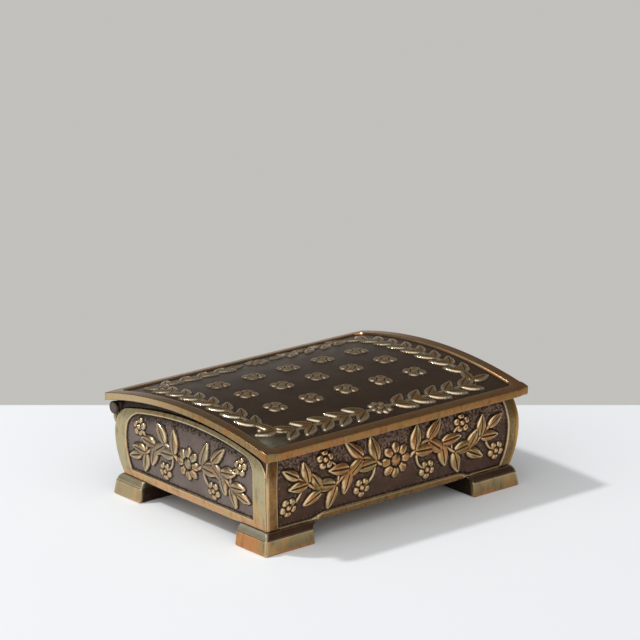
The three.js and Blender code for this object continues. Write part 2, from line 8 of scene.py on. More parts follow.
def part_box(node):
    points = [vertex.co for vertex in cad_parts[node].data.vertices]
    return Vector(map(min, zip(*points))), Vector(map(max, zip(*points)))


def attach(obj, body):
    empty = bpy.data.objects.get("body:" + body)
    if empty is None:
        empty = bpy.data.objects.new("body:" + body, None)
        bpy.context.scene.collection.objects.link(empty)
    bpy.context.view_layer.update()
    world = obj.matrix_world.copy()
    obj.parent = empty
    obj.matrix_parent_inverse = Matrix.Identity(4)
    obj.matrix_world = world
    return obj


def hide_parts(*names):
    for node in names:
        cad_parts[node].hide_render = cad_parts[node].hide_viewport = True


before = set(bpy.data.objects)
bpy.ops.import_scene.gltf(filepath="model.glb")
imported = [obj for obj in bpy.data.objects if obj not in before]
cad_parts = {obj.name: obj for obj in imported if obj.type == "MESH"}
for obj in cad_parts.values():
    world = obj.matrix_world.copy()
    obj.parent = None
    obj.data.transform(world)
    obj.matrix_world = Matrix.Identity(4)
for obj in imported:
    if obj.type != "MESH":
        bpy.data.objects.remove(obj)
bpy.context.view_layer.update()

mm = 0.001  # shapes are worked out in millimetres, meshes are in metres
dice = np.random.default_rng(7)


def spanOf(node):
    low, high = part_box(node)
    return np.array(low) / mm, np.array(high) / mm


# Driving sizes, in millimetres: the walls are measured across their widest line
body = {
    "length": 160.5, "depth": 118.7, "wall": 2.8,
    "bulgeHeight": 32.0, "baseTuck": 3.2, "topTuck": 2.9,
    "frontSkirt": 9.6, "endSkirt": 10.1, "footHeight": 10.4,
    "seatGap": 0.2, "lidGap": 0.3,
}
halfLength, halfDepth = body["length"] / 2, body["depth"] / 2
flush = body["footHeight"] + body["seatGap"]  # lower edge of the walls over the feet
lidLow, lidHigh = spanOf("lid")
arch = {
    "seat": 47.6, "rise": 8.4, "thickness": 1.75, "edge": 2.45,
    "rimHeight": 1.05, "rimWidth": 6.2, "cornerRun": 6.2, "cornerStep": 1.2,
    "length": lidHigh[0] - lidLow[0], "depth": lidHigh[1] - lidLow[1],
}


def arcThrough(rise):
    # radius of an arc that rises by this much over the lid's depth
    return (arch["depth"] ** 2 / 4 + rise ** 2) / (2 * rise)


def archHeight(y, radius):
    # height of an arc about the centre of the lid's underside
    return arch["centre"] + np.sqrt(radius ** 2 - y ** 2)


arch["crown"] = arch["seat"] + arch["rise"]
arch["radius"] = arcThrough(arch["rise"])
arch["centre"] = arch["crown"] - arch["radius"]
arch["topRadius"] = arcThrough(arch["rise"] + arch["thickness"] - arch["edge"])
arch["topCentre"] = arch["crown"] + arch["thickness"] - arch["topRadius"]
lugFoot = spanOf("hinge_lug_left")[0][2]
footHigh = spanOf("foot_front_left")[1]
hinge = {"inset": 0.65, "drop": 4.75, "barrel": 3.0, "bore": 1.75, "pin": 1.6, "runGap": 0.4, "lugReach": 2.4,
         "webHalf": 2.2, "headExtra": 0.2, "headSoft": 0.6, "headLength": 1.9}
hinge["y"] = halfDepth - hinge["inset"]
hinge["z"] = archHeight(hinge["y"], arch["radius"]) - hinge["drop"]
hinge["seat"] = hinge["z"] - hinge["barrel"] - hinge["runGap"]


# Small tools for whole arrays

def smooth(low, high, x):
    # cubic step from 0 at low to 1 at high
    t = np.clip((x - low) / (high - low), 0, 1)
    return t * t * (3 - 2 * t)


def dome(x):
    # half circle: 1 in the middle, 0 from x = -1 and x = 1 on
    return np.sqrt(np.clip(1 - x * x, 0, 1))


def roundOver(distance, radius):
    # how far a rounded edge has dropped, at a distance from the edge
    return radius - np.sqrt(radius ** 2 - np.clip(radius - distance, 0, radius) ** 2)


def roundedMin(a, b, corner):
    # distance inside the meeting of two edges whose corner is rounded
    inA, inB = corner - a, corner - b
    rounded = corner - np.hypot(np.maximum(inA, 0), np.maximum(inB, 0))
    return np.where((inA > 0) | (inB > 0), rounded, np.minimum(a, b))


def blur(field, turns):
    # repeated three-point averaging along both directions in turn, edges held
    for half in range(2 * turns):
        wide = np.pad(field, ((1, 1), (0, 0)), mode="edge")
        field = (0.5 * field + 0.25 * (wide[2:] + wide[:-2])).T
    return field


def cloud(shape, coarse):
    # seeded smooth unevenness from -1 to 1: a coarse random grid drawn out to the full one
    rows, columns = (max(int(n / coarse), 2) + 2 for n in shape)
    rough = dice.uniform(-1, 1, (rows, columns))
    r, c = np.linspace(0, rows - 1.001, shape[0]), np.linspace(0, columns - 1.001, shape[1])
    r0, c0 = r.astype(int), c.astype(int)
    fr, fc = smooth(0, 1, r - r0)[:, None], smooth(0, 1, c - c0)[None, :]
    drawn = rough[:, c0] * (1 - fc) + rough[:, c0 + 1] * fc
    return drawn[r0] * (1 - fr) + drawn[r0 + 1] * fr


def grain(shape):
    # seeded grain of about one cell, from -1 to 1
    return blur(dice.uniform(-1, 1, shape), 1)


def tuckAt(z, slope=False):
    # how far the walls tuck in at a height, or the slope there: two half parabolas that meet at the widest line
    below = z < body["bulgeHeight"]
    tuck = np.where(below, body["baseTuck"], body["topTuck"])
    span = np.where(below, body["endSkirt"], arch["seat"]) - body["bulgeHeight"]
    share = (z - body["bulgeHeight"]) / span
    return 2 * tuck * share / span if slope else tuck * share ** 2


# Meshes from arrays

maskNames = ("rub", "dirt", "pit", "edge", "bloom", "hue")


def maskSet(shape, **values):
    # every mask as one number per point; a mask that isn't given is 0, and hue is midway
    return {name: values.get(name, 0.5 * (name == "hue")) + np.zeros(shape) for name in maskNames}


def joinMasks(first, second):
    return {name: np.concatenate([first[name].ravel(), second[name].ravel()]) for name in maskNames}


def addObject(name, data):
    added = bpy.data.objects.new(name, data)
    bpy.context.scene.collection.objects.link(added)
    return added


def makePiece(name, grids, masks=None):
    # each grid is an array of points in millimetres, rows by columns, and two flags: rows closed, columns closed
    # a grid closed one way only is a tube, and a flat cap shuts each of its ends
    loops, sizes, count = [], [], 0
    for points, closeRows, closeColumns in grids:
        rows, columns = points.shape[:2]
        number = count + np.arange(rows * columns).reshape(rows, columns)
        right = np.roll(number, -1, 1)
        quads = np.stack([number, right, np.roll(right, -1, 0), np.roll(number, -1, 0)], -1)
        quads = quads[:rows - (not closeRows), :columns - (not closeColumns)]
        caps = []
        if closeRows != closeColumns:
            caps = [number[:, 0], number[::-1, -1]] if closeRows else [number[0, ::-1], number[-1]]
        loops += [quads.ravel(), *caps]
        sizes += [4] * (quads.size // 4) + [len(cap) for cap in caps]
        count += rows * columns
    places = np.concatenate([grid[0].reshape(-1, 3) for grid in grids]) * mm
    loops, sizes = np.concatenate(loops).astype(np.int32), np.array(sizes, dtype=np.int32)
    mesh = bpy.data.meshes.new(name)
    mesh.vertices.add(count)
    mesh.vertices.foreach_set("co", places.ravel().astype(np.float32))
    mesh.loops.add(len(loops))
    mesh.loops.foreach_set("vertex_index", loops)
    mesh.polygons.add(len(sizes))
    mesh.polygons.foreach_set("loop_start", (np.cumsum(sizes) - sizes).astype(np.int32))
    mesh.polygons.foreach_set("loop_total", sizes)
    mesh.polygons.foreach_set("use_smooth", np.ones(len(sizes), dtype=bool))
    mesh.update(calc_edges=True)
    for maskName, values in (masks or {}).items():
        attribute = mesh.attributes.new(maskName, "FLOAT", "POINT")
        attribute.data.foreach_set("value", values.ravel().astype(np.float32))
    shell = bmesh.new()
    shell.from_mesh(mesh)
    bmesh.ops.recalc_face_normals(shell, faces=shell.faces)
    shell.to_mesh(mesh)
    shell.free()
    return addObject(name, mesh)


def dress(piece, bodyName, material, node):
    piece.data.materials.append(material)
    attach(piece, bodyName)
    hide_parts(node)
    print("made", piece.name, len(piece.data.polygons))


# Relief ornament: every motif adds to a height field with a maximum, so that motifs overlap like casts

class Relief:
    def __init__(self, u, v, flat):
        # flat: a higher power makes flatter tops and steeper sides
        self.u, self.v, self.flat = u, v, flat
        self.height = np.zeros_like(u)

    def near(self, x, y, reach):
        return (np.abs(self.u - x) < reach) & (np.abs(self.v - y) < reach)

    def raiseTo(self, where, values):
        self.height[where] = np.maximum(self.height[where], values)

    def leaf(self, x, y, angle, length, width, height):
        # pointed oval: half width follows a sine along the leaf
        # its section is a steep-sided cushion with a sunk midrib
        where = self.near(x, y, length * 1.1)
        du, dv = self.u[where] - x, self.v[where] - y
        along = (du * np.cos(angle) + dv * np.sin(angle)) / length
        across = dv * np.cos(angle) - du * np.sin(angle)
        t = np.clip(along, 1e-4, 1 - 1e-4)
        half = np.maximum(width / 2 * np.sin(np.pi * t ** 0.8) ** 0.8, 1e-3)
        cushion = np.sqrt(1 - np.clip(np.abs(across) / half, 0, 1) ** self.flat)
        rib = np.exp(-(across / ornament["rib"]) ** 2) * smooth(0.98, 0.75, t)
        belly = 0.8 + 0.2 * np.sin(np.pi * t)
        ends = smooth(0, 0.1, along) * smooth(1, 0.94, along)
        self.raiseTo(where, height * ends * belly * cushion * (1 - 0.3 * rib))

    def berry(self, x, y, radius, height):
        where = self.near(x, y, radius * 1.1)
        self.raiseTo(where, height * dome(np.hypot(self.u[where] - x, self.v[where] - y) / radius))

    def stem(self, points, radius, height):
        # half-round rod: nearest distance to each short straight run of the path
        for (x0, y0), (x1, y1) in zip(points[:-1], points[1:]):
            where = self.near((x0 + x1) / 2, (y0 + y1) / 2, np.hypot(x1 - x0, y1 - y0) / 2 + radius * 1.5)
            du, dv = self.u[where] - x0, self.v[where] - y0
            run = np.array([x1 - x0, y1 - y0])
            t = np.clip((du * run[0] + dv * run[1]) / run.dot(run), 0, 1)
            self.raiseTo(where, height * dome(np.hypot(du - t * run[0], dv - t * run[1]) / radius))

    def rosette(self, x, y, radius, petals, height, turn=0.0):
        # petals are lobes of a polar curve, each a cushion with a dished middle, round a ring and a boss
        where = self.near(x, y, radius * 1.1)
        du, dv = self.u[where] - x, self.v[where] - y
        r = np.hypot(du, dv) / radius
        swing = np.abs(np.cos(petals / 2 * (np.arctan2(dv, du) - turn)))
        lobe = np.clip(r / (0.62 + 0.38 * swing ** 0.65), 0, 1)
        groove = 1 - 0.55 * np.exp(-(swing * r * 5.0) ** 2)
        petal = np.sqrt(1 - lobe ** (self.flat + 0.5)) * groove * (0.78 + 0.22 * smooth(0.35, 0.8, lobe))
        ring = 1 - 0.6 * np.exp(-((r - 0.36) / 0.06) ** 2)
        boss = 1.08 * dome(r / 0.32)
        self.raiseTo(where, height * np.maximum(petal * ring, boss))

    def curl(self, x0, y0, x1, y1, bend, height):
        # thin bowed stalk from one point to another, bent to one side by a share of its length
        t = np.linspace(0, 1, 14)
        bow = np.sin(np.pi * t) * bend
        points = np.stack([x0 + (x1 - x0) * t - (y1 - y0) * bow, y0 + (y1 - y0) * t + (x1 - x0) * bow], -1)
        self.stem(points, ornament["stalk"] / 2, height)

    def branch(self, at, reach, pitch, leafSize, spread, height, berries=False):
        # stem along a path, leaf pairs at even steps, berries between pairs, a leaf at the tip
        # the path gives x, y and heading at a distance
        length, width = leafSize
        tip, stem = ornament["tip"], ornament["stem"] / 2
        self.stem([at(s)[:2] for s in np.linspace(0, reach, 44)], stem, height * 0.72)
        pairs = max(int(round(reach / pitch)), 1)
        for k in range(pairs):
            x, y, heading = at(reach / pairs * (k + 0.25))
            size = 1 - 0.18 * k / pairs
            for turn in (spread, -spread):
                self.leaf(x, y, heading + turn, length * size, width * size, height)
            if berries:
                radius, aside = ornament["berry"]
                x, y, heading = at(reach / pairs * (k + 0.85))
                lean = heading + (1 if k % 2 else -1) * np.pi / 2
                self.berry(x + aside * np.cos(lean), y + aside * np.sin(lean), radius, height * 0.9)
        x, y, heading = at(reach - stem)
        self.leaf(x, y, heading, length * tip, width * tip, height)


ornament = {
    "height": 1.5, "stem": 2.0, "stalk": 1.5, "tip": 0.8, "rib": 0.36, "margin": 1.0, "berry": (1.35, 2.8),
    "panel": {"height": 34.4, "rosette": 9.4, "floret": 5.2, "offset": 9.6, "leaf": (14.6, 7.2), "pitch": 8.6,
              "spread": np.radians(40), "wave": 5.6, "wavelength": 45.0, "endShare": 0.75, "flat": 3.6},
    "lid": {"height": 0.98, "inset": 10.4, "corner": 11.0, "leaf": (12.6, 5.8), "pitch": 10.8, "flat": 5.0,
            "spread": np.radians(34), "rosette": 6.2, "floret": 6.0, "florets": (5, 3), "fieldPitch": 22.0},
}


def panelRelief(u, v, low, high, half):
    # a rosette in the middle, a wavy leaf branch to each side, and a floret on a stalk in each hollow of the wave
    height, plan = ornament["height"], ornament["panel"]
    relief = Relief(u, v, plan["flat"])
    scale, middle = (high - low) / plan["height"], (high + low) / 2
    radius, floret = plan["rosette"] * scale, plan["floret"] * scale
    leafSize = tuple(scale * s for s in plan["leaf"])
    tip = ornament["tip"] * leafSize[0]
    reach = half - radius - tip - ornament["margin"]
    hollow = plan["wavelength"] * scale / 2
    for side in (-1, 1):
        def at(s):
            # a sine wave from the rosette's edge out to the side
            phase = np.pi * s / hollow
            slope = 2 * np.pi * plan["wave"] / plan["wavelength"] * np.cos(phase)
            return side * (radius + s), middle + plan["wave"] * scale * np.sin(phase), np.arctan2(slope, side)

        for k, s in enumerate(np.arange(hollow / 2, reach + tip - floret, hollow)):
            up = 1 if k % 2 else -1
            x, y = at(s)[0], middle + up * plan["offset"] * scale
            relief.curl(*at(s - hollow * 0.32)[:2], x, y, 0.22 * up * side, height * 0.6)
            relief.rosette(x, y, floret, 5, height * 0.94, up * np.pi / 2)
        relief.branch(at, reach, plan["pitch"] * scale, leafSize, plan["spread"], height)
    relief.rosette(0, middle, radius, 8, height * 1.02)
    return relief.height


def lidRelief(u, v, fieldX, fieldY):
    # a leaf band on a rounded rectangle inside the rim, and four-petalled florets in rows on the field
    plan = ornament["lid"]
    relief = Relief(u, v, plan["flat"])
    halfX, halfY, corner = fieldX - plan["inset"], fieldY - plan["inset"], plan["corner"]
    # half of the band, from the middle of the front to the middle of the back, as even short steps
    a = np.linspace(-np.pi / 2, 0, 40)
    arcX, arcY = halfX - corner + corner * np.cos(a), corner - halfY + corner * np.sin(a)
    bandX = np.concatenate([[0], arcX, arcX[::-1], [0]])
    bandY = np.concatenate([[-halfY], arcY, -arcY[::-1], [halfY]])
    run = np.concatenate([[0], np.cumsum(np.hypot(np.diff(bandX), np.diff(bandY)))])
    reach = run[-1] - 2 * plan["rosette"] - ornament["tip"] * plan["leaf"][0] - ornament["margin"]
    for side in (-1, 1):
        def at(s):
            # place on the band, and its heading from two points half a millimetre to each side
            s = plan["rosette"] + s + np.array([-0.5, 0, 0.5])
            x, y = side * np.interp(s, run, bandX), np.interp(s, run, bandY)
            return x[1], y[1], np.arctan2(y[2] - y[0], x[2] - x[0])

        relief.branch(at, reach, plan["pitch"], plan["leaf"], plan["spread"], plan["height"], True)
    for y in (-halfY, halfY):
        relief.rosette(0, y, plan["rosette"], 8, plan["height"])
    across, along = ((np.arange(n) - (n - 1) / 2) * plan["fieldPitch"] for n in plan["florets"])
    for x in across:
        for y in along:
            relief.rosette(x, y, plan["floret"], 4, plan["height"], np.pi / 4)
    return np.minimum(relief.height, plan["height"])


def finishMasks(height, frameMask, motif, cell, polish=0.0, motifRub=0.72):
    # edge is a pale cream on raised parts: partly rubbed bright metal, partly painted highlight
    # rub is bare rubbed metal, the dark mask is patina in the hollows, pit is rough cast ground
    # swell is what stands out from the blurred form; cell is the grid's step
    turns = max(int(round((0.6 / cell) ** 2 * 2)), 2)
    swell = height - blur(height, turns)
    motifMask = smooth(0.2, 0.6, motif / max(motif.max(), 1e-6))
    # the polish share makes steep sides bare, with the edges' cream as painted glints
    steep = polish * smooth(0.35, 0.9, np.hypot(*np.gradient(motif, cell)))
    edge = np.maximum(smooth(0.05, 0.2, swell), 0.8 * steep)
    dirt = smooth(0.015, 0.15, -swell) * (1 - 0.7 * steep)
    rub = np.clip(np.maximum(frameMask, motifRub * motifMask) * (1 - 0.8 * dirt) + 0.28 * edge, 0, 1)
    around = blur(np.maximum(frameMask, motifMask), turns * 5)
    pit = np.clip((1 - frameMask) * (1 - motifMask) * (around * 2.4 + 0.06), 0, 1)
    return maskSet(height.shape, rub=np.maximum(rub, steep), dirt=dirt, pit=pit, edge=edge)


# Walls: a closed section ring carried along the wall, mitred at both ends

wallGrid = {"long": (520, 160), "end": (447, 176), "innerRows": 12}
longPanel = {"post": 7.0, "rail": 3.6, "fillet": 0.6, "bend": 9.0, "sunk": 1.0, "cell": 0.29}
endPanel = {"post": 9.9, "rail": 4.6, "drop": 7.2, "corner": 6.0, "frame": 2.3, "shoulder": 9.0,
            "recess": 0.8, "sunk": 1.0, "cell": 0.27}
bracket = 2.2  # curve from a foot's inner side to the front's lower edge
frontRound, rearRound = 0.5, 2.4  # the two rear corners are softer than the front ones
frontReach = 2.0  # the front feet run this much further along the ends than the rear ones
footInner = {"x": -footHigh[0] + bracket, "y": -footHigh[1]}  # the feet's inner sides, from the middle


def ringWall(name, length, depth, bottomAt, topAt, heightAt, turn, grid, material, node, rounds):
    # outer face: z runs from the lower to the upper edge, x between the mitres, height pushes along the normal
    # inner face: the same bow, set back by the wall's thickness
    # rounds: corner radius at the -x and +x side; a round corner's mitre starts 1 - 1 / sqrt(2) radius further in
    s, v = np.linspace(-1, 1, grid[0])[None, :], np.linspace(0, 1, grid[1])[:, None]
    cornerRadius = np.where(s < 0, *rounds)
    softCorner = (1 - np.sqrt(0.5)) * cornerRadius

    def mitred(z, back):
        return s * (length / 2 - tuckAt(z) - body["seatGap"] - back)

    low = bottomAt(s * (length / 2 - body["baseTuck"] * 0.6))
    high = topAt(mitred(hinge["z"], softCorner))
    z = low + (high - low) * v
    x = mitred(z, softCorner)
    height, masks = heightAt(x, z, low, high, cornerRadius + 0 * z)
    slope = tuckAt(z, True)
    stretch = np.sqrt(1 + slope ** 2)
    outer = np.stack([x, tuckAt(z) - depth / 2 - height / stretch, z + height * slope / stretch], -1)
    zIn = low + 0.25 + (high - low - 0.5) * np.linspace(1, 0, wallGrid["innerRows"])[:, None]
    inner = np.stack([mitred(zIn, body["wall"]), tuckAt(zIn) + body["wall"] - depth / 2, zIn], -1)
    points = np.concatenate([outer, inner])
    spin = np.array([[np.cos(turn), -np.sin(turn)], [np.sin(turn), np.cos(turn)]])
    points[..., :2] = points[..., :2] @ spin.T
    masks = joinMasks(masks, maskSet(inner.shape[:2], rub=0.12, dirt=0.25, pit=0.3))
    dress(makePiece(name, [(points, True, False)], masks), "box", material, node)


def skirtBottom(x):
    # lower edge of the front and back: level between the feet, a small step up to sit on them
    inner = footInner["x"] - bracket
    return body["frontSkirt"] + (flush - body["frontSkirt"]) * smooth(inner - 1.1, inner - 0.25, np.abs(x))


def panelBottom(x):
    # lower edge of the sunk panel: over the rail in the middle, down to a thin line over the feet
    high, low = body["frontSkirt"] + longPanel["rail"], body["footHeight"] + longPanel["fillet"]
    return low + (high - low) * smooth(footInner["x"] + 0.5, footInner["x"] - longPanel["bend"], np.abs(x))


def wallEdge(half, x, z, low, high, cornerRadius, ease):
    # distance from the mitre, and how far the rounded edges have dropped
    mitre = half - tuckAt(z) - body["seatGap"] - np.abs(x)
    return mitre, roundOver(mitre, cornerRadius) + roundOver(z - low, ease) + roundOver(high - z, 0.5)


def roughened(height, pit, depth):
    # the casting's slow waves and the grain of its rough ground
    wave = 0.05 * cloud(height.shape, 26) + 0.02 * cloud(height.shape, 7)
    return height + depth * grain(height.shape) * pit + wave


def longHeights(panelTop, reliefTop):
    # front and back: a sunk panel between two posts, over a half-round rail
    p = longPanel

    def heightAt(x, z, low, high, cornerRadius):
        side = halfLength - tuckAt(z) - p["post"] - np.abs(x)
        bottom = panelBottom(x)
        d = np.minimum(side, z - bottom)
        if panelTop:
            d = np.minimum(d, panelTop - z)
        sunk = smooth(-0.1, 0.8, d)
        motif = panelRelief(x, z, body["frontSkirt"] + p["rail"], reliefTop, halfLength - p["post"]) * sunk
        rail = smooth(footInner["x"] + 4, footInner["x"], np.abs(x)) * (z < bottom)
        bead = rail * (0.5 * dome((z - low) / np.maximum(bottom - low, 0.3) * 2 - 1) - 0.2)
        mitre, soft = wallEdge(halfLength, x, z, low, high, cornerRadius, 0.5)
        height = motif - p["sunk"] * sunk + bead * (1 - sunk) - soft
        masks = finishMasks(height + soft, 1 - sunk, motif, p["cell"], 0.0, 0.66)
        onRail = (1 - sunk) * smooth(-p["post"] + 1.2, -p["post"] + 2.4, side)
        post = (1 - sunk) * (1 - onRail)
        masks["rub"] = masks["rub"] * (1 - 0.42 * onRail)
        # painted highlight, partly rubbed metal: cream along the corner arris and over the whole post at the -x
        # end
        bright = np.maximum(smooth(0.55, 0.15, mitre), 0.85 * post * (x < 0))
        masks["edge"] = np.maximum(masks["edge"], bright)
        streaks = post * np.cos(2 * np.pi * (mitre + 0.25 * cloud(x.shape, 20)) / 4.6)
        masks["hue"] = 0.66 - 0.2 * onRail + 0.35 * streaks
        upper = smooth(33, 39, z + 3 * cloud(x.shape, 40)) * sunk * (1 - smooth(0.1, 0.4, motif))
        masks["pit"] = np.clip(masks["pit"] + 0.55 * upper, 0, 1)
        masks["bloom"] = upper * (0.7 + 0.3 * cloud(x.shape, 2.5))
        return roughened(height, masks["pit"], 0.04), masks

    return heightAt


def endHeights(x, z, low, high, cornerRadius):
    # ends: a sunk panel with an arched top, in a plate with round shoulders that stands out from a recess
    p = endPanel
    railTop, panelArc = body["endSkirt"] + p["rail"], arch["radius"] - p["drop"]
    hingeSide, half = cornerRadius > 1, halfDepth - p["post"]
    under = panelArc - np.hypot(x, z - arch["centre"])
    d = np.minimum(roundedMin(half - tuckAt(z) - np.abs(x), under, p["corner"]), z - railTop)
    plate = roundedMin(halfDepth - np.abs(x), under + p["frame"], p["shoulder"])
    sunk = smooth(-0.1, 0.8, d)
    reliefTop = archHeight(half * ornament["panel"]["endShare"], panelArc)
    motif = panelRelief(x, z, railTop, reliefTop, half) * sunk
    mitre, soft = wallEdge(halfDepth, x, z, low, high, cornerRadius, 0.45)
    height = motif - p["sunk"] * sunk - p["recess"] * smooth(0.25, -0.3, plate) - soft
    masks = finishMasks(height + soft, 1 - sunk, motif, p["cell"])
    masks["hue"] = 0.5 + (1 - sunk) * (0.5 * smooth(0.3, -0.5, z - railTop) - 0.2)
    rear = hingeSide * smooth(halfDepth - 17, halfDepth - 10, np.abs(x))
    below = smooth(hinge["seat"] + 2.4, hinge["seat"] + 1.0, z)  # clear of the shade under the lid
    # the recess above the plate, under the lid, is darkened: partly unrubbed patina, partly painted shade of the
    # lid; less at the rear low down, and not beside the lug
    hidden = smooth(0.1, -0.9, plate) * (1 - 0.85 * rear * below)
    besideLug = hingeSide * smooth(50, 52.5, np.abs(x)) * below * smooth(hinge["seat"] - 3, hinge["seat"] - 1, z)
    rub = (masks["rub"] - 0.2 * sunk * smooth(0.2, 0.6, motif)) * (1 - 0.9 * hidden)
    masks["rub"] = np.maximum(rub, 0.85 * besideLug)
    underFrame = smooth(5.6, 1.2, under + 1.2 * cloud(x.shape, 12)) * sunk * (1 - smooth(0.1, 0.4, motif))
    overRail = smooth(1.7, 0.6, z - railTop) * sunk
    masks["pit"] = np.clip(masks["pit"] + underFrame + overRail, 0, 1)
    stipple = (0.5 + 0.5 * cloud(x.shape, 3.2)) * (0.75 * underFrame + 0.9 * overRail)
    dirt = np.maximum(masks["dirt"], 0.75 * hidden) * (1 - 0.95 * besideLug)
    masks["dirt"] = np.maximum(dirt, stipple)
    # painted highlight, partly rubbed metal: a cream line along the arris of the corner away from the hinge
    masks["edge"] = np.maximum(masks["edge"], smooth(0.55, 0.15, mitre) * ~hingeSide)
    return roughened(height, masks["pit"], 0.05), masks


def makeWalls(finish, endFinish):
    under = arch["radius"] - body["lidGap"]
    frontTop = archHeight(halfDepth - body["topTuck"], under)
    backStrip = lugFoot - 0.8
    notch = hinge["y"] - hinge["barrel"] - 0.15
    ringWall("frontWall", body["length"], body["depth"], skirtBottom, lambda x: frontTop + 0 * x,
             longHeights(None, arch["seat"]), 0, wallGrid["long"], finish, "front_wall", (frontRound, frontRound))
    ringWall("backWall", body["length"], body["depth"], skirtBottom, lambda x: hinge["seat"] + 0 * x,
             longHeights(backStrip, backStrip), np.pi, wallGrid["long"], finish, "back_wall",
             (rearRound, rearRound))
    for side, hingeSide in (("left", -1), ("right", 1)):
        def bottomAt(x):
            inner = footInner["y"] - np.where(hingeSide * x < 0, frontReach, 0.0)
            return body["endSkirt"] + (flush - body["endSkirt"]) * smooth(inner - 1.4, inner - 0.25, np.abs(x))

        def topAt(x):
            cut = smooth(notch - 0.15, notch + 0.1, hingeSide * x)
            return archHeight(x, under) * (1 - cut) + hinge["seat"] * cut

        ringWall(side + "EndWall", body["depth"], body["length"], bottomAt, topAt, endHeights,
                 hingeSide * np.pi / 2, wallGrid["end"], endFinish, side + "_end_wall",
                 (frontRound, rearRound)[::hingeSide])


# Lid: a relief field carried as a section ring along the length, inside a moulded rim carried round the edge

lidForm = {"columns": 366, "rows": 256, "underRows": 10, "cell": 0.43, "lap": 0.5, "underGap": 0.2}
rimForm = {"perSide": 110, "perCorner": 12, "fieldCorner": 4.0, "bulge": 0.06, "endDrop": 0.45, "frontLift": 0.5}


def makeLid(finish, rimFinish):
    # field: a grid of x and of angles about the upper arc's centre, pushed out by the relief
    halfX, halfY = arch["length"] / 2, arch["depth"] / 2
    fieldX, fieldY = halfX - arch["rimWidth"], halfY - arch["rimWidth"]
    ground, lap = arch["topRadius"], lidForm["lap"]
    reach = np.arcsin((fieldY + lap) / ground)
    x = np.linspace(-fieldX - lap, fieldX + lap, lidForm["columns"])[None, :]
    angle = np.linspace(-reach, reach, lidForm["rows"])[:, None]
    u, v = x + 0 * angle, ground * np.sin(angle) + 0 * x
    motif = lidRelief(u, v, fieldX, fieldY)
    rimSide = smooth(0.9, 0.0, np.minimum(fieldX - np.abs(u), fieldY - np.abs(v)))
    masks = finishMasks(motif + 0.8 * rimSide, 0 * u, motif, lidForm["cell"], 0.9, 0.88)
    masks["dirt"] = np.maximum(masks["dirt"], 0.8 * rimSide)
    corner = np.hypot(fieldX + u, fieldY + v)
    # a grey-green patch near the front left corner: partly bloom, partly painted sheen
    masks["bloom"] = smooth(20, 4, corner) * (1 - smooth(0.2, 0.6, motif)) * (0.7 + 0.3 * cloud(u.shape, 9))
    height = motif + 0.02 * grain(u.shape) * masks["pit"] + 0.04 * cloud(u.shape, 24) * (1 - rimSide)
    radius = ground + height
    top = np.stack([u, radius * np.sin(angle), arch["topCentre"] + radius * np.cos(angle)], -1)
    yIn = ground * np.sin(np.linspace(reach, -reach, lidForm["underRows"]))[:, None]
    zIn = archHeight(yIn, arch["radius"] + lidForm["underGap"])
    under = np.stack([x + 0 * yIn, yIn + 0 * x, zIn + 0 * x], -1)
    masks = joinMasks(masks, maskSet(under.shape[:2], rub=0.08, dirt=0.2, pit=0.3))
    piece = makePiece("lidField", [(np.concatenate([top, under]), True, False)], masks)
    dress(piece, "cover", finish, "lid")
    makeRim(halfX, halfY, fieldX, fieldY, rimFinish)


def joinCorners(corners, t):
    # closed outline: four corner curves with straight sides between them, t is the share of the way along a side
    parts = []
    for k in range(4):
        curve, following = corners[k], corners[(k + 1) % 4]
        parts += [curve, curve[..., -1:] + (following[..., :1] - curve[..., -1:]) * t]
    return np.concatenate(parts, -1)


def gathered(count):
    # shares from 0 to 1 that gather towards both ends, which keeps edges crisp
    return 0.5 - 0.5 * np.cos(np.linspace(0, np.pi, count))


def rimPath(halfX, halfY, run, step, bulge):
    # rectangle counter-clockwise from the front right corner; bulge 0 cuts a corner straight, 1 makes it round
    corners, t = [], gathered(rimForm["perCorner"])
    for k, (sx, sy) in enumerate(((1, -1), (1, 1), (-1, 1), (-1, -1))):
        start, end = (k - 1) * np.pi / 2, k * np.pi / 2
        dx, dy = (bulge * f(start + (end - start) * t) + (1 - bulge) * (f(start) * (1 - t) + f(end) * t)
                  for f in (np.cos, np.sin))
        corners.append(np.stack([sx * (halfX - run) + run * dx, sy * (halfY - step) + step * dy]))
    return joinCorners(corners, gathered(rimForm["perSide"] + 2)[1:-1])


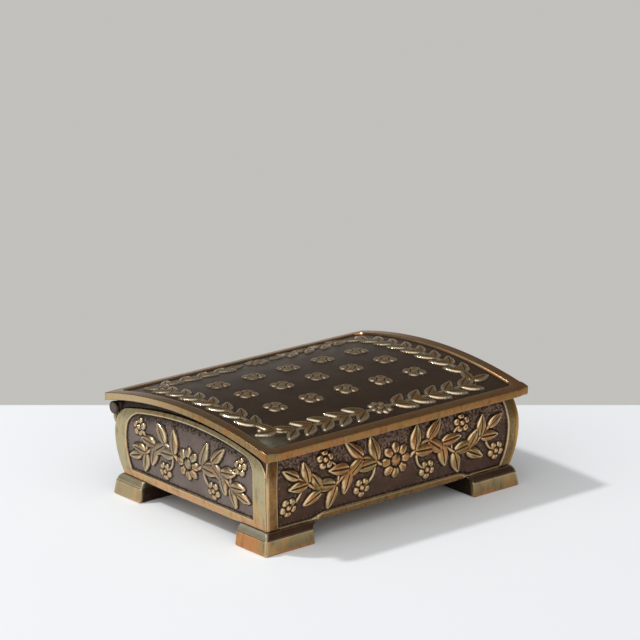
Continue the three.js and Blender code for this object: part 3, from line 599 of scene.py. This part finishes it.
def makeRim(halfX, halfY, fieldX, fieldY, finish):
    # profile: share of the way out from the field's edge, height from underside (0) by field (1) to rim (2)
    f = rimForm
    outX, outY = rimPath(halfX, halfY, arch["cornerRun"], arch["cornerStep"], f["bulge"])
    inX, inY = rimPath(fieldX, fieldY, f["fieldCorner"], f["fieldCorner"], 1.0)
    profile = np.array([
        (-0.06, 0.0), (-0.06, 0.8), (0.0, 1.03), (0.03, 1.2), (0.065, 1.75), (0.1, 1.95), (0.15, 2.0), (0.3, 2.0),
        (0.5, 2.0), (0.7, 1.99), (0.85, 1.98), (0.94, 1.96), (0.968, 1.93), (0.985, 1.87), (0.995, 1.75),
        (1.0, 1.55), (1.0, 1.0), (1.0, 0.45), (0.999, 0.18), (0.994, 0.07), (0.975, 0.015), (0.935, 0.0),
        (0.45, 0.0),
    ])
    w, level = profile[:, :1], profile[:, 1:]
    x, y = inX + (outX - inX) * w, inY + (outY - inY) * w
    floor = archHeight(y, arch["radius"])
    ground = arch["topCentre"] + np.sqrt(arch["topRadius"] ** 2 - y ** 2)
    z = floor + (ground - floor) * np.clip(level, 0, 1) + arch["rimHeight"] * np.clip(level - 1, 0, 1)
    z = z - f["endDrop"] * smooth(halfX - 3.2, halfX - 1.6, np.abs(x)) * smooth(0.6, 0.1, level)
    frontSide = smooth(fieldY - 1.0, fieldY + 1.0, -y)
    z = z + f["frontLift"] * frontSide * np.clip((w - 0.1) / 0.9, 0, 1) * smooth(1.2, 1.7, level)
    uneven = 0.05 * cloud(x.shape, 9) * smooth(1.4, 2.0, level) * smooth(0.98, 0.8, w)

    def alongProfile(steps, values):
        # a mask that changes from one point of the profile to the next
        return np.interp(np.arange(len(profile)), steps, values)[:, None]

    rub = alongProfile((0, 2, 4, 6, 8, 11, 13, 15, 18, 20, 21),
                       (0.08, 0.2, 1.0, 1.0, 0.96, 0.86, 0.8, 0.68, 0.68, 0.5, 0.08))
    dirt = alongProfile((0, 1, 2, 4, 5, 10, 11.5, 12.5, 18, 20, 21),
                        (0.2, 0.9, 0.9, 0.3, 0.0, 0.0, 0.3, 0.0, 0.0, 0.4, 0.2))
    pit = alongProfile((0, 1, 20, 21), (0.3, 0.05, 0.05, 0.3))
    # edge: cream lines along the profile's arrises, partly rubbed metal, partly painted highlight
    edge = alongProfile((3, 4, 6, 7, 9, 12, 13.5, 14.5, 15, 18, 19, 20),
                        (0, 0.6, 0.5, 0.15, 0, 0, 0.3, 0.3, 0, 0, 0.4, 0))
    # the outer face of the left end gets more of the edges' cream and a more olive tint towards the back
    pale = smooth(0.9, 0.99, w) * smooth(-halfX + 2, -halfX + 0.5, x) * smooth(-20, 45, y) * (level > 0.1)
    hue = 0.42 - 0.25 * pale + 0.2 * smooth(-halfX, -halfX + 12, x)
    masks = maskSet(x.shape, rub=rub, dirt=dirt, pit=pit, edge=np.clip(edge + 0.7 * pale, 0, 1), hue=hue)
    points = np.stack([x, y, z - np.abs(uneven)], -1)
    dress(makePiece("lidRim", [(points, True, True)], masks), "cover", finish, "lid")


# Feet: a drafted block under a quarter roll, section carried round a rectangle with soft corners

footForm = {"block": 7.2, "spread": 2.5, "draft": 0.9, "soft": 0.8, "lip": 0.25, "full": 1.5, "sole": 0.5,
            "rollSteps": 22, "perSide": 26, "perCorner": 7, "padDepth": 2.0}


def roundedBox(x0, x1, y0, y1, radius, perSide, perCorner):
    # rectangle rings with round corners; the four limits are columns, one row per level
    corners = []
    for k, (x, y) in enumerate(((x1 - radius, y0 + radius), (x1 - radius, y1 - radius),
                                (x0 + radius, y1 - radius), (x0 + radius, y0 + radius))):
        a = np.linspace(0, np.pi / 2, perCorner) + (k - 1) * np.pi / 2
        corners.append(np.stack([x + radius * np.cos(a), y + radius * np.sin(a)]))
    return joinCorners(corners, np.linspace(0, 1, perSide + 2)[1:-1])


def makeFoot(name, signX, signY, finish, node):
    # levels are (spread beyond the wall, height): sole, block, rounded lip, roll
    # the inner side curves towards the front's lower edge
    f, front, innerY = footForm, signY > 0, footInner["y"] - frontReach * (signY > 0)
    tuck = float(tuckAt(body["footHeight"]))
    cornerX, cornerY = halfLength - tuck, halfDepth - tuck
    block, spread, lip, sole = f["block"], f["spread"], f["lip"], f["sole"]
    full, rise, power = spread + f["draft"], body["footHeight"] - block, 2 / f["full"]
    levels = [(full - sole, 0.0), (full - 0.15, 0.12), (full, sole)]
    levels += [(spread + f["draft"] * (1 - k), sole + (block - lip - sole) * k) for k in np.linspace(0.1, 1, 8)]
    levels += [(spread - lip * (1 - np.cos(k)), block - lip * (1 - np.sin(k))) for k in np.linspace(0.3, 1.45, 5)]
    # a full quarter roll: the shares of its width and rise, each to one power, add up to one
    levels += [((spread - lip) * np.cos(k) ** power, block + rise * np.sin(k) ** power)
               for k in np.linspace(0.06, np.pi / 2, f["rollSteps"])]
    out, z = np.hsplit(np.array(levels), 2)
    lift = np.clip(z - body["frontSkirt"] + bracket, 0, bracket)
    under = np.clip(0.4 - z, 0, 0.4)
    endX, innerX = -cornerX - out, bracket - np.sqrt(bracket ** 2 - lift ** 2) - footInner["x"] - under
    frontY, backY = -cornerY - out, -innerY - under
    x, y = roundedBox(endX, innerX, frontY, backY, f["soft"], f["perSide"], f["perCorner"])
    z = z + 0 * x
    fromEnd, fromFront = x - endX, y - frontY
    dent = 0.05 * cloud(x.shape, 8) * smooth(0.6, 1.6, z) * smooth(block - 0.4, block - 1.4, z)
    points = np.stack([(x + np.abs(dent) * (np.abs(fromEnd) < 0.3)) * signX, y * signY, z], -1)
    # the inner faces, under the box, are darkened: partly unrubbed patina, partly painted shade
    hidden = np.maximum(smooth(0.9, 0.2, innerX - x) * smooth(1.2, 3.2, fromFront),
                        smooth(0.9, 0.2, backY - y) * smooth(0.8, 2.4, fromEnd))
    onRoll = smooth(block, block + 0.35, z)
    onFront = smooth(0.25, -0.25, fromFront - fromEnd)  # along the front and back; the rest is along the ends
    onEnd = 1 - onFront
    dulled = front * onEnd  # the front feet's ends are less rubbed than the rear ones
    top = smooth(body["footHeight"] - 0.5, body["footHeight"] - 0.1, z)
    lipEdge = np.exp(-((z - block + 0.1) / 0.3) ** 2)
    corner = smooth(1.1, 0.5, np.minimum(np.abs(fromEnd), 9) + np.minimum(np.abs(fromFront), 9))
    # along the front and back the roll is darker, and the strip at its top gets a painted highlight
    rub = np.clip(0.88 - 0.7 * hidden - onRoll * (0.66 * onFront + 0.35 * dulled) + 0.6 * top * onFront, 0, 1)
    dirt = np.maximum(onRoll * (0.45 * onFront + 0.1 * dulled) * (1 - top), 0.9 * hidden)
    # painted highlights in cream: over the rear feet's ends, strongest on the roll, and in lines along the
    # corners, the block's top edge and the top strip
    pale = (not front) * onEnd * (0.4 + 0.45 * onRoll)
    edge = np.clip(corner + 0.35 * lipEdge + 0.6 * top * onFront + pale, 0, 1) * (1 - hidden)
    # painted reflection: a pale grey-green sheen of the soft light along the ends' roll, stronger on the front
    # feet
    bloom = onRoll * onEnd * ((0.85 if front else 0.6) + 0.15 * cloud(x.shape, 5))
    inwards = smooth(-cornerY + 3, -innerY - 4, y)
    hue = 0.35 * onFront + (0.45 * front + 0.35 * inwards) * onEnd + 0.35 * smooth(2.2, 0.4, z)
    masks = maskSet(x.shape, rub=rub, dirt=dirt, pit=0.15 + 0.5 * onRoll * dulled, edge=edge, bloom=bloom, hue=hue)
    # a pad on top fills the corner inside the walls
    inside, two = tuck + body["wall"] + body["seatGap"], np.ones((2, 1))
    padX, padY = roundedBox(two * (inside - halfLength), two * -footInner["x"],
                            two * (inside - halfDepth), two * -innerY, 0.3, 2, 3)
    padZ = np.array([[body["footHeight"] - f["padDepth"]], [footHigh[2]]]) + 0 * padX
    pad = np.stack([padX * signX, padY * signY, padZ], -1)
    masks = joinMasks(masks, maskSet(padX.shape, **dict.fromkeys(maskNames, 0.1)))
    piece = makePiece(name, [(points, False, True), (pad, False, True)], masks)
    dress(piece, "box", finish, node)


# Hinge: lugs and knuckles are bored sections carried along X, the pin and its cap are turned

def resample(outline, count):
    # even steps along a closed outline
    closed = np.concatenate([outline, outline[:1]])
    run = np.concatenate([[0], np.cumsum(np.hypot(*np.diff(closed, axis=0).T))])
    at = np.linspace(0, run[-1], count, endpoint=False)
    return np.stack([np.interp(at, run, closed[:, 0]), np.interp(at, run, closed[:, 1])], -1)


def barrelArc(start, end, count):
    a = np.linspace(start, end, count)
    return np.stack([hinge["y"] + hinge["barrel"] * np.cos(a), hinge["z"] + hinge["barrel"] * np.sin(a)], -1)


def lugOutline():
    # down the wall's face, out to the heel, up and round the barrel, over to the toe at the wall's notch
    h = hinge
    back, lift = h["y"] + h["lugReach"], np.sqrt(h["barrel"] ** 2 - h["lugReach"] ** 2)
    seat, inner, over = h["seat"] + body["seatGap"], h["y"] - h["barrel"], h["z"] + h["barrel"]
    z = np.linspace(seat, lugFoot, 8)
    face = np.stack([halfDepth - tuckAt(z) + body["seatGap"], z], -1)
    heel = [(face[-1, 0] + 0.5, lugFoot + 0.1), (back - 0.4, lugFoot + 1.5), (back, lugFoot + 2.3)]
    barrel = barrelArc(-np.arctan2(lift, h["lugReach"]), np.pi / 2, 30)
    toe = [(inner + 0.7, over), (inner + 0.2, over - 0.2), (inner, over - 0.7), (inner, seat)]
    return np.concatenate([face, heel, barrel, toe])


def knuckleOutline():
    # a web down from the lid's underside, round the barrel and back up
    half = hinge["webHalf"]
    y = np.linspace(hinge["y"] + half, hinge["y"] - half, 8)
    web = np.stack([y, archHeight(y, arch["radius"] - body["seatGap"])], -1)
    side = np.arccos(half / hinge["barrel"])
    return np.concatenate([web, barrelArc(np.pi - side, 2 * np.pi + side, 48)])


def makeBored(name, outline, node, bodyName, finish):
    # rows run along the outside, round the end, back through the bore; the outside eases in at both ends
    low, high = (end[0] for end in spanOf(node))
    ring, centre = resample(outline, 120), np.array([hinge["y"], hinge["z"]])
    outwards = (ring - centre) / np.linalg.norm(ring - centre, axis=1)[:, None]
    bore = centre + hinge["bore"] * outwards
    ease, first = 0.25, 0.08
    eased = ((low, ease), (low + first, first), (low + ease, 0),
             (high - ease, 0), (high - first, first), (high, ease))
    loops = [(at, ring - cut * outwards) for at, cut in eased] + [(high, bore), (low, bore)]
    points = np.stack([np.insert(loop, 0, at, 1) for at, loop in loops])
    rub = np.full(points.shape[:2], 0.8)
    rub[1:5] = 0.9
    # painted shade: the corner under the lid, towards the wall, is painted dark
    toe = smooth(hinge["y"] - 0.5, hinge["y"] - 2.0, ring[:, 0])
    toe = toe * smooth(hinge["seat"] + 0.8, hinge["seat"] + 2.4, ring[:, 1])
    masks = maskSet(rub.shape, rub=rub - 0.65 * toe, dirt=0.06 + 0.6 * toe, pit=0.1, hue=0.3)
    dress(makePiece(name, [(points, True, True)], masks), bodyName, finish, node)


def makeTurned(name, profile, node, finish):
    # revolve (distance along X, radius) about the hinge axis; the profile's ends are closed by flat discs
    turn = np.linspace(0, 2 * np.pi, 64, endpoint=False)[None, :]
    x, r = np.hsplit(profile, 2)
    points = np.stack([x + 0 * turn, hinge["y"] + r * np.cos(turn), hinge["z"] + r * np.sin(turn)], -1)
    rub = np.interp(r, (0, 2.0, 2.6, 3.0), (0.55, 0.6, 0.4, 0.2))
    masks = maskSet(points.shape[:2], rub=rub, dirt=0.2, pit=0.25)
    dress(makePiece(name, [(points, False, True)], masks), "box", finish, node)


def makeHinge(finish, pinFinish):
    for side in ("left", "centre", "right"):
        makeBored("hingeLug" + side.capitalize(), lugOutline(), "hinge_lug_" + side, "box", finish)
    for side in ("left", "right"):
        makeBored("lidKnuckle" + side.capitalize(), knuckleOutline(), "lid_knuckle_" + side, "cover", finish)
    h = hinge
    pinLow, pinHigh = (end[0] for end in spanOf("hinge_pin"))
    radius, soft, long = h["barrel"] + h["headExtra"], h["headSoft"], h["headLength"]
    a = np.linspace(0, np.pi / 2, 8)
    dish = [(0.12, 0.7), (0.05, 1.6)]  # left by the turning tool
    crown = np.stack([soft * (1 - np.cos(a)), radius - soft * (1 - np.sin(a))], -1)
    head = np.concatenate([dish, crown, [(long - 0.15, radius), (long, radius - 0.15)]])
    shank = [(pinLow + long, h["pin"]), (pinHigh - 0.2, h["pin"]), (pinHigh, h["pin"] - 0.2)]
    makeTurned("hingePin", np.concatenate([head + (pinLow, 0), shank]), "hinge_pin", pinFinish)
    cap = np.concatenate([head, [(long, h["bore"]), (long / 2, h["bore"])]])
    cap[:, 0] = spanOf("hinge_pin_cap")[1][0] - cap[:, 0]
    makeTurned("hingePinCap", cap, "hinge_pin_cap", pinFinish)


# Materials: short ways to add nodes, and the shared finish effects as node groups

class Nodes:
    def __init__(self, tree):
        self.tree = tree

    def feed(self, socket, value):
        # outputs are linked, numbers and colours are set on the socket
        if isinstance(value, bpy.types.NodeSocket):
            self.tree.links.new(value, socket)
        else:
            socket.default_value = (*value, 1.0) if socket.type == "RGBA" else value

    def add(self, kind, inputs=(), **settings):
        node = self.tree.nodes.new(kind)
        for key, value in settings.items():
            setattr(node, key, value)
        for key, value in dict(inputs).items():
            self.feed(node.inputs[key], value)
        return node

    def noise(self, vector, scale, detail=4.0, rough=0.55, distort=0.0):
        inputs = {"Vector": vector, "Scale": scale, "Detail": detail, "Roughness": rough, "Distortion": distort}
        return self.add("ShaderNodeTexNoise", inputs).outputs["Fac"]

    def remap(self, value, low, high, toLow=0.0, toHigh=1.0):
        inputs = {"Value": value, "From Min": low, "From Max": high, "To Min": toLow, "To Max": toHigh}
        return self.add("ShaderNodeMapRange", inputs, interpolation_type="SMOOTHSTEP").outputs["Result"]

    def calc(self, operation, a, b, clamp):
        return self.add("ShaderNodeMath", {0: a, 1: b}, operation=operation, use_clamp=clamp).outputs[0]

    def plus(self, a, b, clamp=False):
        return self.calc("ADD", a, b, clamp)

    def minus(self, a, b, clamp=False):
        return self.calc("SUBTRACT", a, b, clamp)

    def times(self, a, b, clamp=False):
        return self.calc("MULTIPLY", a, b, clamp)

    def blend(self, factor, a, b):
        return self.add("ShaderNodeMix", {"Factor": factor, 6: a, 7: b}, data_type="RGBA").outputs[2]


def newGroup(name, kind, outputs, scalars, colours=()):
    # every group reads a place on the piece; scalars and colours name its other inputs
    group = bpy.data.node_groups.new(name, "ShaderNodeTree")
    sockets = [("Vector", "INPUT", "Vector")] + [(s, "INPUT", "Float") for s in scalars]
    sockets += [(c, "INPUT", "Color") for c in colours] + [(o, "OUTPUT", kind) for o in outputs]
    for socketName, way, socketKind in sockets:
        group.interface.new_socket(socketName, in_out=way, socket_type="NodeSocket" + socketKind)
    return Nodes(group), group.nodes.new("NodeGroupInput").outputs, group.nodes.new("NodeGroupOutput").inputs


# noise scales, in cells per metre
pattern = {"streak": 130, "patch": 80, "drift": 170, "film": 330, "clouds": 70, "grain": 950, "glint": 820,
           "waves": 230, "fine": 2600, "spots": 420, "mottle": 150, "stretch": (1.0, 1.0, 0.3)}
# the second tone is the light speck that paints glints
speckTone, glintTone = (0.014, 0.009, 0.007), (0.3, 0.21, 0.14)
bareTints, groundTints = ("Olive", "Gold", "Copper", "Film"), ("Brown", "Deep")


def rubbedToneGroup():
    # bare bronze: olive, gold and copper tints drift into each other in soft upright streaks, under a thin brown
    # film that is thicker where the metal is rubbed less; hue leans the mixture, 0 to olive and 1 to copper
    n, gate, out = newGroup("rubbedTone", "Color", ("Color",), ("Rub", "Hue"), bareTints)
    inputs = {"Vector": gate["Vector"], "Scale": pattern["stretch"]}
    upright = n.add("ShaderNodeMapping", inputs).outputs[0]
    lean = n.times(n.minus(gate["Hue"], 0.5), 0.42)
    streak = n.plus(n.noise(upright, pattern["streak"], 2.0, 0.45, 0.5), lean)
    patch = n.noise(gate["Vector"], pattern["patch"], 2.0, 0.5, 0.4)
    drift = n.noise(upright, pattern["drift"], 2.0, 0.45, 0.3)
    patch = n.minus(n.times(n.plus(patch, drift), 0.5), lean)
    film = n.noise(upright, pattern["film"], 3.0, 0.55, 0.3)
    warm = n.blend(n.remap(streak, 0.47, 0.6), gate["Gold"], gate["Copper"])
    toned = n.blend(n.remap(patch, 0.47, 0.57), warm, gate["Olive"])
    share = n.times(n.remap(film, 0.5, 0.72), 0.45)
    held = n.times(n.minus(1.0, gate["Rub"], True), 0.9)
    n.feed(out["Color"], n.blend(n.plus(share, held, True), toned, gate["Film"]))
    return n.tree


def groundToneGroup():
    # patina: two browns in clouds, with fine dark specks and light specks as painted glints where the ground is
    # rough cast
    n, gate, out = newGroup("groundTone", "Color", ("Color",), ("Pit",), groundTints)
    clouds = n.noise(gate["Vector"], pattern["clouds"], 5.0, 0.6)
    speck = n.remap(n.noise(gate["Vector"], pattern["grain"], 2.0, 0.6), 0.45, 0.58)
    base = n.blend(n.remap(clouds, 0.35, 0.7), gate["Brown"], gate["Deep"])
    dark = n.blend(n.times(speck, gate["Pit"], True), base, speckTone)
    glint = n.remap(n.noise(gate["Vector"], pattern["glint"], 2.0, 0.6), 0.54, 0.64, 0.0, 0.9)
    n.feed(out["Color"], n.blend(n.times(glint, gate["Pit"], True), dark, glintTone))
    return n.tree


def castGrainGroup():
    # height for bump: fine pits in the rough ground, faint polishing waves elsewhere
    n, gate, out = newGroup("castGrain", "Float", ("Height",), ("Pit",))
    pits = n.times(n.noise(gate["Vector"], pattern["grain"], 3.0, 0.65), gate["Pit"])
    waves = n.times(n.noise(gate["Vector"], pattern["waves"], 3.0, 0.5), 0.6)
    fine = n.times(n.noise(gate["Vector"], pattern["fine"], 2.0, 0.5), 0.08)
    n.feed(out["Height"], n.plus(n.plus(pits, waves), fine))
    return n.tree


def wearGroup():
    # rub and dark masks broken up by noise, so that wear and painted shade have ragged edges
    n, gate, out = newGroup("raggedWear", "Float", ("Bare", "Grime"), ("Rub", "Dirt"))
    spots = n.times(n.minus(n.noise(gate["Vector"], pattern["spots"], 5.0, 0.65), 0.5), 0.7)
    grime = n.plus(gate["Dirt"], spots, True)
    n.feed(out["Bare"], n.remap(n.plus(gate["Rub"], spots), 0.22, 0.78))
    n.feed(out["Grime"], n.times(grime, n.remap(gate["Dirt"], 0.02, 0.3)))
    return n.tree


effects = {
    "rubbedTone": rubbedToneGroup(),
    "groundTone": groundToneGroup(),
    "castGrain": castGrainGroup(),
    "raggedWear": wearGroup(),
}

wallLook = {
    "brown": (0.105, 0.053, 0.033), "deep": (0.07, 0.035, 0.021), "film": (0.15, 0.075, 0.025),
    "olive": (0.385, 0.285, 0.115), "gold": (0.48, 0.27, 0.085), "copper": (0.565, 0.255, 0.09),
    # cream: the pale of rubbed metal and of painted highlights along edges
    "cream": (0.84, 0.66, 0.40), "bloom": (0.27, 0.17, 0.12), "bloomGrain": (820, 0.4, 0.58),
    # grime: the near-black of patina in the hollows and of painted shade
    "grime": (0.02, 0.011, 0.005),
    "groundRough": 0.40, "bareRough": 0.27, "groundMetal": 0.78, "bareMetal": 1.0, "bump": 0.00006, "edge": 0.55,
}
endLook = {
    **wallLook, "edge": 0.35, "brown": (0.205, 0.156, 0.137), "deep": (0.16, 0.12, 0.104),
    "olive": (0.47, 0.395, 0.23), "gold": (0.53, 0.365, 0.165), "copper": (0.60, 0.35, 0.17),
}
lidLook = {
    **wallLook, "brown": (0.09, 0.052, 0.027), "deep": (0.065, 0.036, 0.018), "groundRough": 0.36,
    "groundMetal": 0.85, "olive": (0.48, 0.345, 0.15), "gold": (0.58, 0.335, 0.12), "copper": (0.62, 0.31, 0.125),
    "film": (0.2, 0.11, 0.04), "cream": (0.9, 0.8, 0.62), "edge": 0.75,
    # this grey-green bloom is the lid corner's patch and the painted sheen on the feet's roll
    "bloom": (0.2, 0.205, 0.155), "bloomGrain": (260, 0.22, 0.46),
}
rimLook = {
    **wallLook, "olive": (0.375, 0.25, 0.11), "gold": (0.42, 0.22, 0.078), "copper": (0.445, 0.20, 0.078),
    "film": (0.2, 0.1, 0.022), "brown": lidLook["brown"], "deep": lidLook["deep"],
}
footLook = {
    **wallLook, "olive": (0.335, 0.255, 0.135), "gold": (0.47, 0.28, 0.11), "copper": (0.58, 0.265, 0.105),
    "bloom": lidLook["bloom"], "bloomGrain": lidLook["bloomGrain"], "bareRough": 0.2,
}
pinLook = {
    **wallLook, "brown": (0.09, 0.07, 0.058), "deep": (0.06, 0.045, 0.036), "gold": (0.24, 0.19, 0.165),
    "olive": (0.22, 0.18, 0.15), "copper": (0.25, 0.18, 0.15), "bareRough": 0.42,
}
floorLook = {**wallLook, "brown": (0.46, 0.33, 0.22), "deep": (0.38, 0.265, 0.17), "groundRough": 0.42}


def bronzeFinish(name, look):
    # patina, bare metal where rubbed, cream edges with painted highlight, bloom with painted sheen, grime with
    # painted shade, laid over each other by masks
    material = bpy.data.materials.new(name)
    material.use_nodes = True
    n = Nodes(material.node_tree)
    vector = n.add("ShaderNodeTexCoord").outputs["Object"]
    mask = {m: n.add("ShaderNodeAttribute", attribute_name=m).outputs["Fac"] for m in maskNames}

    def effect(kind, masks, tints=()):
        inputs = {"Vector": vector, **{m: mask[m.lower()] for m in masks}, **{t: look[t.lower()] for t in tints}}
        return n.add("ShaderNodeGroup", inputs, node_tree=effects[kind]).outputs

    wear = effect("raggedWear", ("Rub", "Dirt"))
    bare, grime = wear["Bare"], wear["Grime"]
    bareTone = effect("rubbedTone", ("Rub", "Hue"), bareTints)["Color"]
    groundTone = effect("groundTone", ("Pit",), groundTints)["Color"]
    scale, thin, thick = look["bloomGrain"]
    bloom = n.times(mask["bloom"], n.remap(n.noise(vector, scale, 4.0, 0.6), thin, thick), True)
    tone = n.blend(bare, groundTone, bareTone)
    tone = n.blend(n.times(mask["edge"], look["edge"]), tone, look["cream"])
    tone = n.blend(bloom, tone, look["bloom"])
    tone = n.blend(n.times(grime, 0.9), tone, look["grime"])
    mottle = n.minus(n.noise(vector, pattern["mottle"], 4.0, 0.6), 0.5)
    rough = n.remap(bare, 0, 1, look["groundRough"], look["bareRough"])
    rough = n.plus(rough, n.times(mottle, 0.18))
    rough = n.minus(rough, n.times(mask["edge"], 0.1))
    rough = n.plus(rough, n.times(grime, 0.15))
    rough = n.plus(rough, n.times(bloom, 0.25), True)
    metal = n.remap(bare, 0, 1, look["groundMetal"], look["bareMetal"])
    metal = n.minus(metal, n.times(bloom, 0.5), True)
    height = effect("castGrain", ("Pit",))["Height"]
    bump = n.add("ShaderNodeBump", {"Strength": 0.5, "Distance": look["bump"], "Height": height})
    shader = n.tree.nodes["Principled BSDF"]
    for socketName, value in (("Base Color", tone), ("Roughness", rough), ("Metallic", metal),
                              ("Normal", bump.outputs["Normal"])):
        n.feed(shader.inputs[socketName], value)
    return material


# Stage: camera, table, lights

view = {"focal": 3323.137, "picture": 640, "sensor": 36.0, "pitch": np.radians(16.469), "yaw": np.radians(-39.833),
        "distance": 1614.231, "side": 1.502, "aimHeight": 86.754, "tableEdge": 134.1}


def makeCamera():
    # right, up and back are the camera's axes; the aim lies on the box's upright axis, a little to the side
    e, a = view["pitch"], view["yaw"]
    back = Vector((np.sin(a) * np.cos(e), -np.cos(a) * np.cos(e), np.sin(e)))
    right = Vector((np.cos(a), np.sin(a), 0))
    place = right * view["side"] + Vector((0, 0, view["aimHeight"])) + back * view["distance"]
    data = bpy.data.cameras.new("camera")
    data.sensor_width = view["sensor"]
    data.lens = view["focal"] * view["sensor"] / view["picture"]
    data.clip_start, data.clip_end = 0.05, 30.0
    camera = addObject("camera", data)
    axes = Matrix((right, back.cross(right), back)).transposed().to_4x4()
    camera.matrix_world = Matrix.Translation(place * mm) @ axes
    bpy.context.scene.camera = camera


# size is half of the sheet's width in metres, soft is half of its far edge's blur, floor is where white turns far
table = {"white": (0.835, 0.86, 0.89), "grey": (0.54, 0.528, 0.503), "far": (0.30, 0.285, 0.27), "size": 9.0,
         "soft": 0.0012, "floor": (0.2, 0.36), "rough": 0.7}


def seenRay(n):
    # camera, mirror and glass rays see the plain backdrop grey
    path = n.add("ShaderNodeLightPath").outputs
    seen = n.plus(path["Is Camera Ray"], path["Is Glossy Ray"], True)
    return n.plus(seen, path["Is Transmission Ray"], True)


def makeTable():
    # one level sheet: white up to the table's far edge, backdrop grey beyond it, the room's floor far to the right
    side = np.array([-1, 1]) * table["size"] / mm
    x, y = np.meshgrid(side, side)
    sheet = makePiece("tableTop", [(np.stack([x, y, 0 * x], -1), False, False)])
    material = bpy.data.materials.new("tableWhite")
    material.use_nodes = True
    n = Nodes(material.node_tree)
    shader = n.tree.nodes["Principled BSDF"]
    n.feed(shader.inputs["Roughness"], table["rough"])
    inputs = {"Vector": n.add("ShaderNodeTexCoord").outputs["Object"], "Rotation": (0, 0, -view["yaw"])}
    turned = n.add("ShaderNodeMapping", inputs).outputs[0]
    split = n.add("ShaderNodeSeparateXYZ", {0: turned}).outputs
    edge = view["tableEdge"] * mm
    beyond = n.remap(split["Y"], edge - table["soft"], edge + table["soft"])
    top = n.blend(n.remap(split["X"], *table["floor"]), table["white"], table["far"])
    n.feed(shader.inputs["Base Color"], n.blend(beyond, top, table["grey"]))
    glow = n.add("ShaderNodeEmission", {"Color": table["grey"]})
    inputs = {0: n.times(beyond, seenRay(n)), 1: shader.outputs[0], 2: glow.outputs[0]}
    mixed = n.add("ShaderNodeMixShader", inputs)
    n.feed(n.tree.nodes["Material Output"].inputs["Surface"], mixed.outputs[0])
    sheet.data.materials.append(material)


lights = {
    "room": (0.54, 0.528, 0.503),  # pale wall along the horizon, behind and to the left
    "dim": (0.18, 0.172, 0.162),  # the rest of the room
    "bright": (1.34, 1.34, 1.32),  # window overhead and to the front left
    "window": (-0.72, -0.5, 0.48),
    "wall": (-0.8, 0.6, 0.0),
    "key": {"from": (-0.466, 0.366, 0.805), "distance": 3.0, "size": 0.26, "power": 40.8, "aim": 0.03},
}


def makeLights():
    # world: a pale wall along one side of the horizon, dim elsewhere, bright overhead towards the window
    world = bpy.data.worlds.new("studio")
    bpy.context.scene.world = world
    world.use_nodes = True
    n = Nodes(world.node_tree)
    direction = n.add("ShaderNodeTexCoord").outputs["Generated"]
    height = n.add("ShaderNodeSeparateXYZ", {0: direction}).outputs["Z"]

    def facing(towards, low, high):
        node = n.add("ShaderNodeVectorMath", {0: direction, 1: towards}, operation="DOT_PRODUCT")
        return n.remap(node.outputs["Value"], low, high)

    ring = n.blend(facing(lights["wall"], -0.75, -0.1), lights["dim"], lights["room"])
    upper = n.blend(facing(lights["window"], 0.1, 0.75), lights["dim"], lights["bright"])
    n.feed(n.tree.nodes["Background"].inputs["Color"], n.blend(n.remap(height, 0.02, 0.22), ring, upper))
    spec = lights["key"]
    data = bpy.data.lights.new("key", "AREA")
    data.shape, data.size, data.energy = "DISK", spec["size"], spec["power"]
    lamp = addObject("key", data)
    towards = Vector(spec["from"]).normalized()
    lamp.location = towards * spec["distance"] + Vector((0, 0, spec["aim"]))
    lamp.rotation_euler = towards.to_track_quat("Z", "Y").to_euler()


makeCamera()
makeTable()
makeLights()
bpy.context.scene.view_settings.view_transform = "Standard"
print("stage ready")

makeWalls(bronzeFinish("wallBronze", wallLook), bronzeFinish("endBronze", endLook))
makeLid(bronzeFinish("lidBronze", lidLook), bronzeFinish("rimBronze", rimLook))
footFinish = bronzeFinish("footBronze", footLook)
for depthName, signY in (("front", 1), ("rear", -1)):
    for sideName, signX in (("left", 1), ("right", -1)):
        makeFoot("foot" + depthName.capitalize() + sideName.capitalize(), signX, signY, footFinish,
                 "foot_" + depthName + "_" + sideName)
makeHinge(bronzeFinish("hingeBronze", endLook), bronzeFinish("pinBronze", pinLook))
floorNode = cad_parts["floor_plate"]
floorNode.data.materials.clear()
floorNode.data.materials.append(bronzeFinish("floorBronze", floorLook))
print("pieces ready")
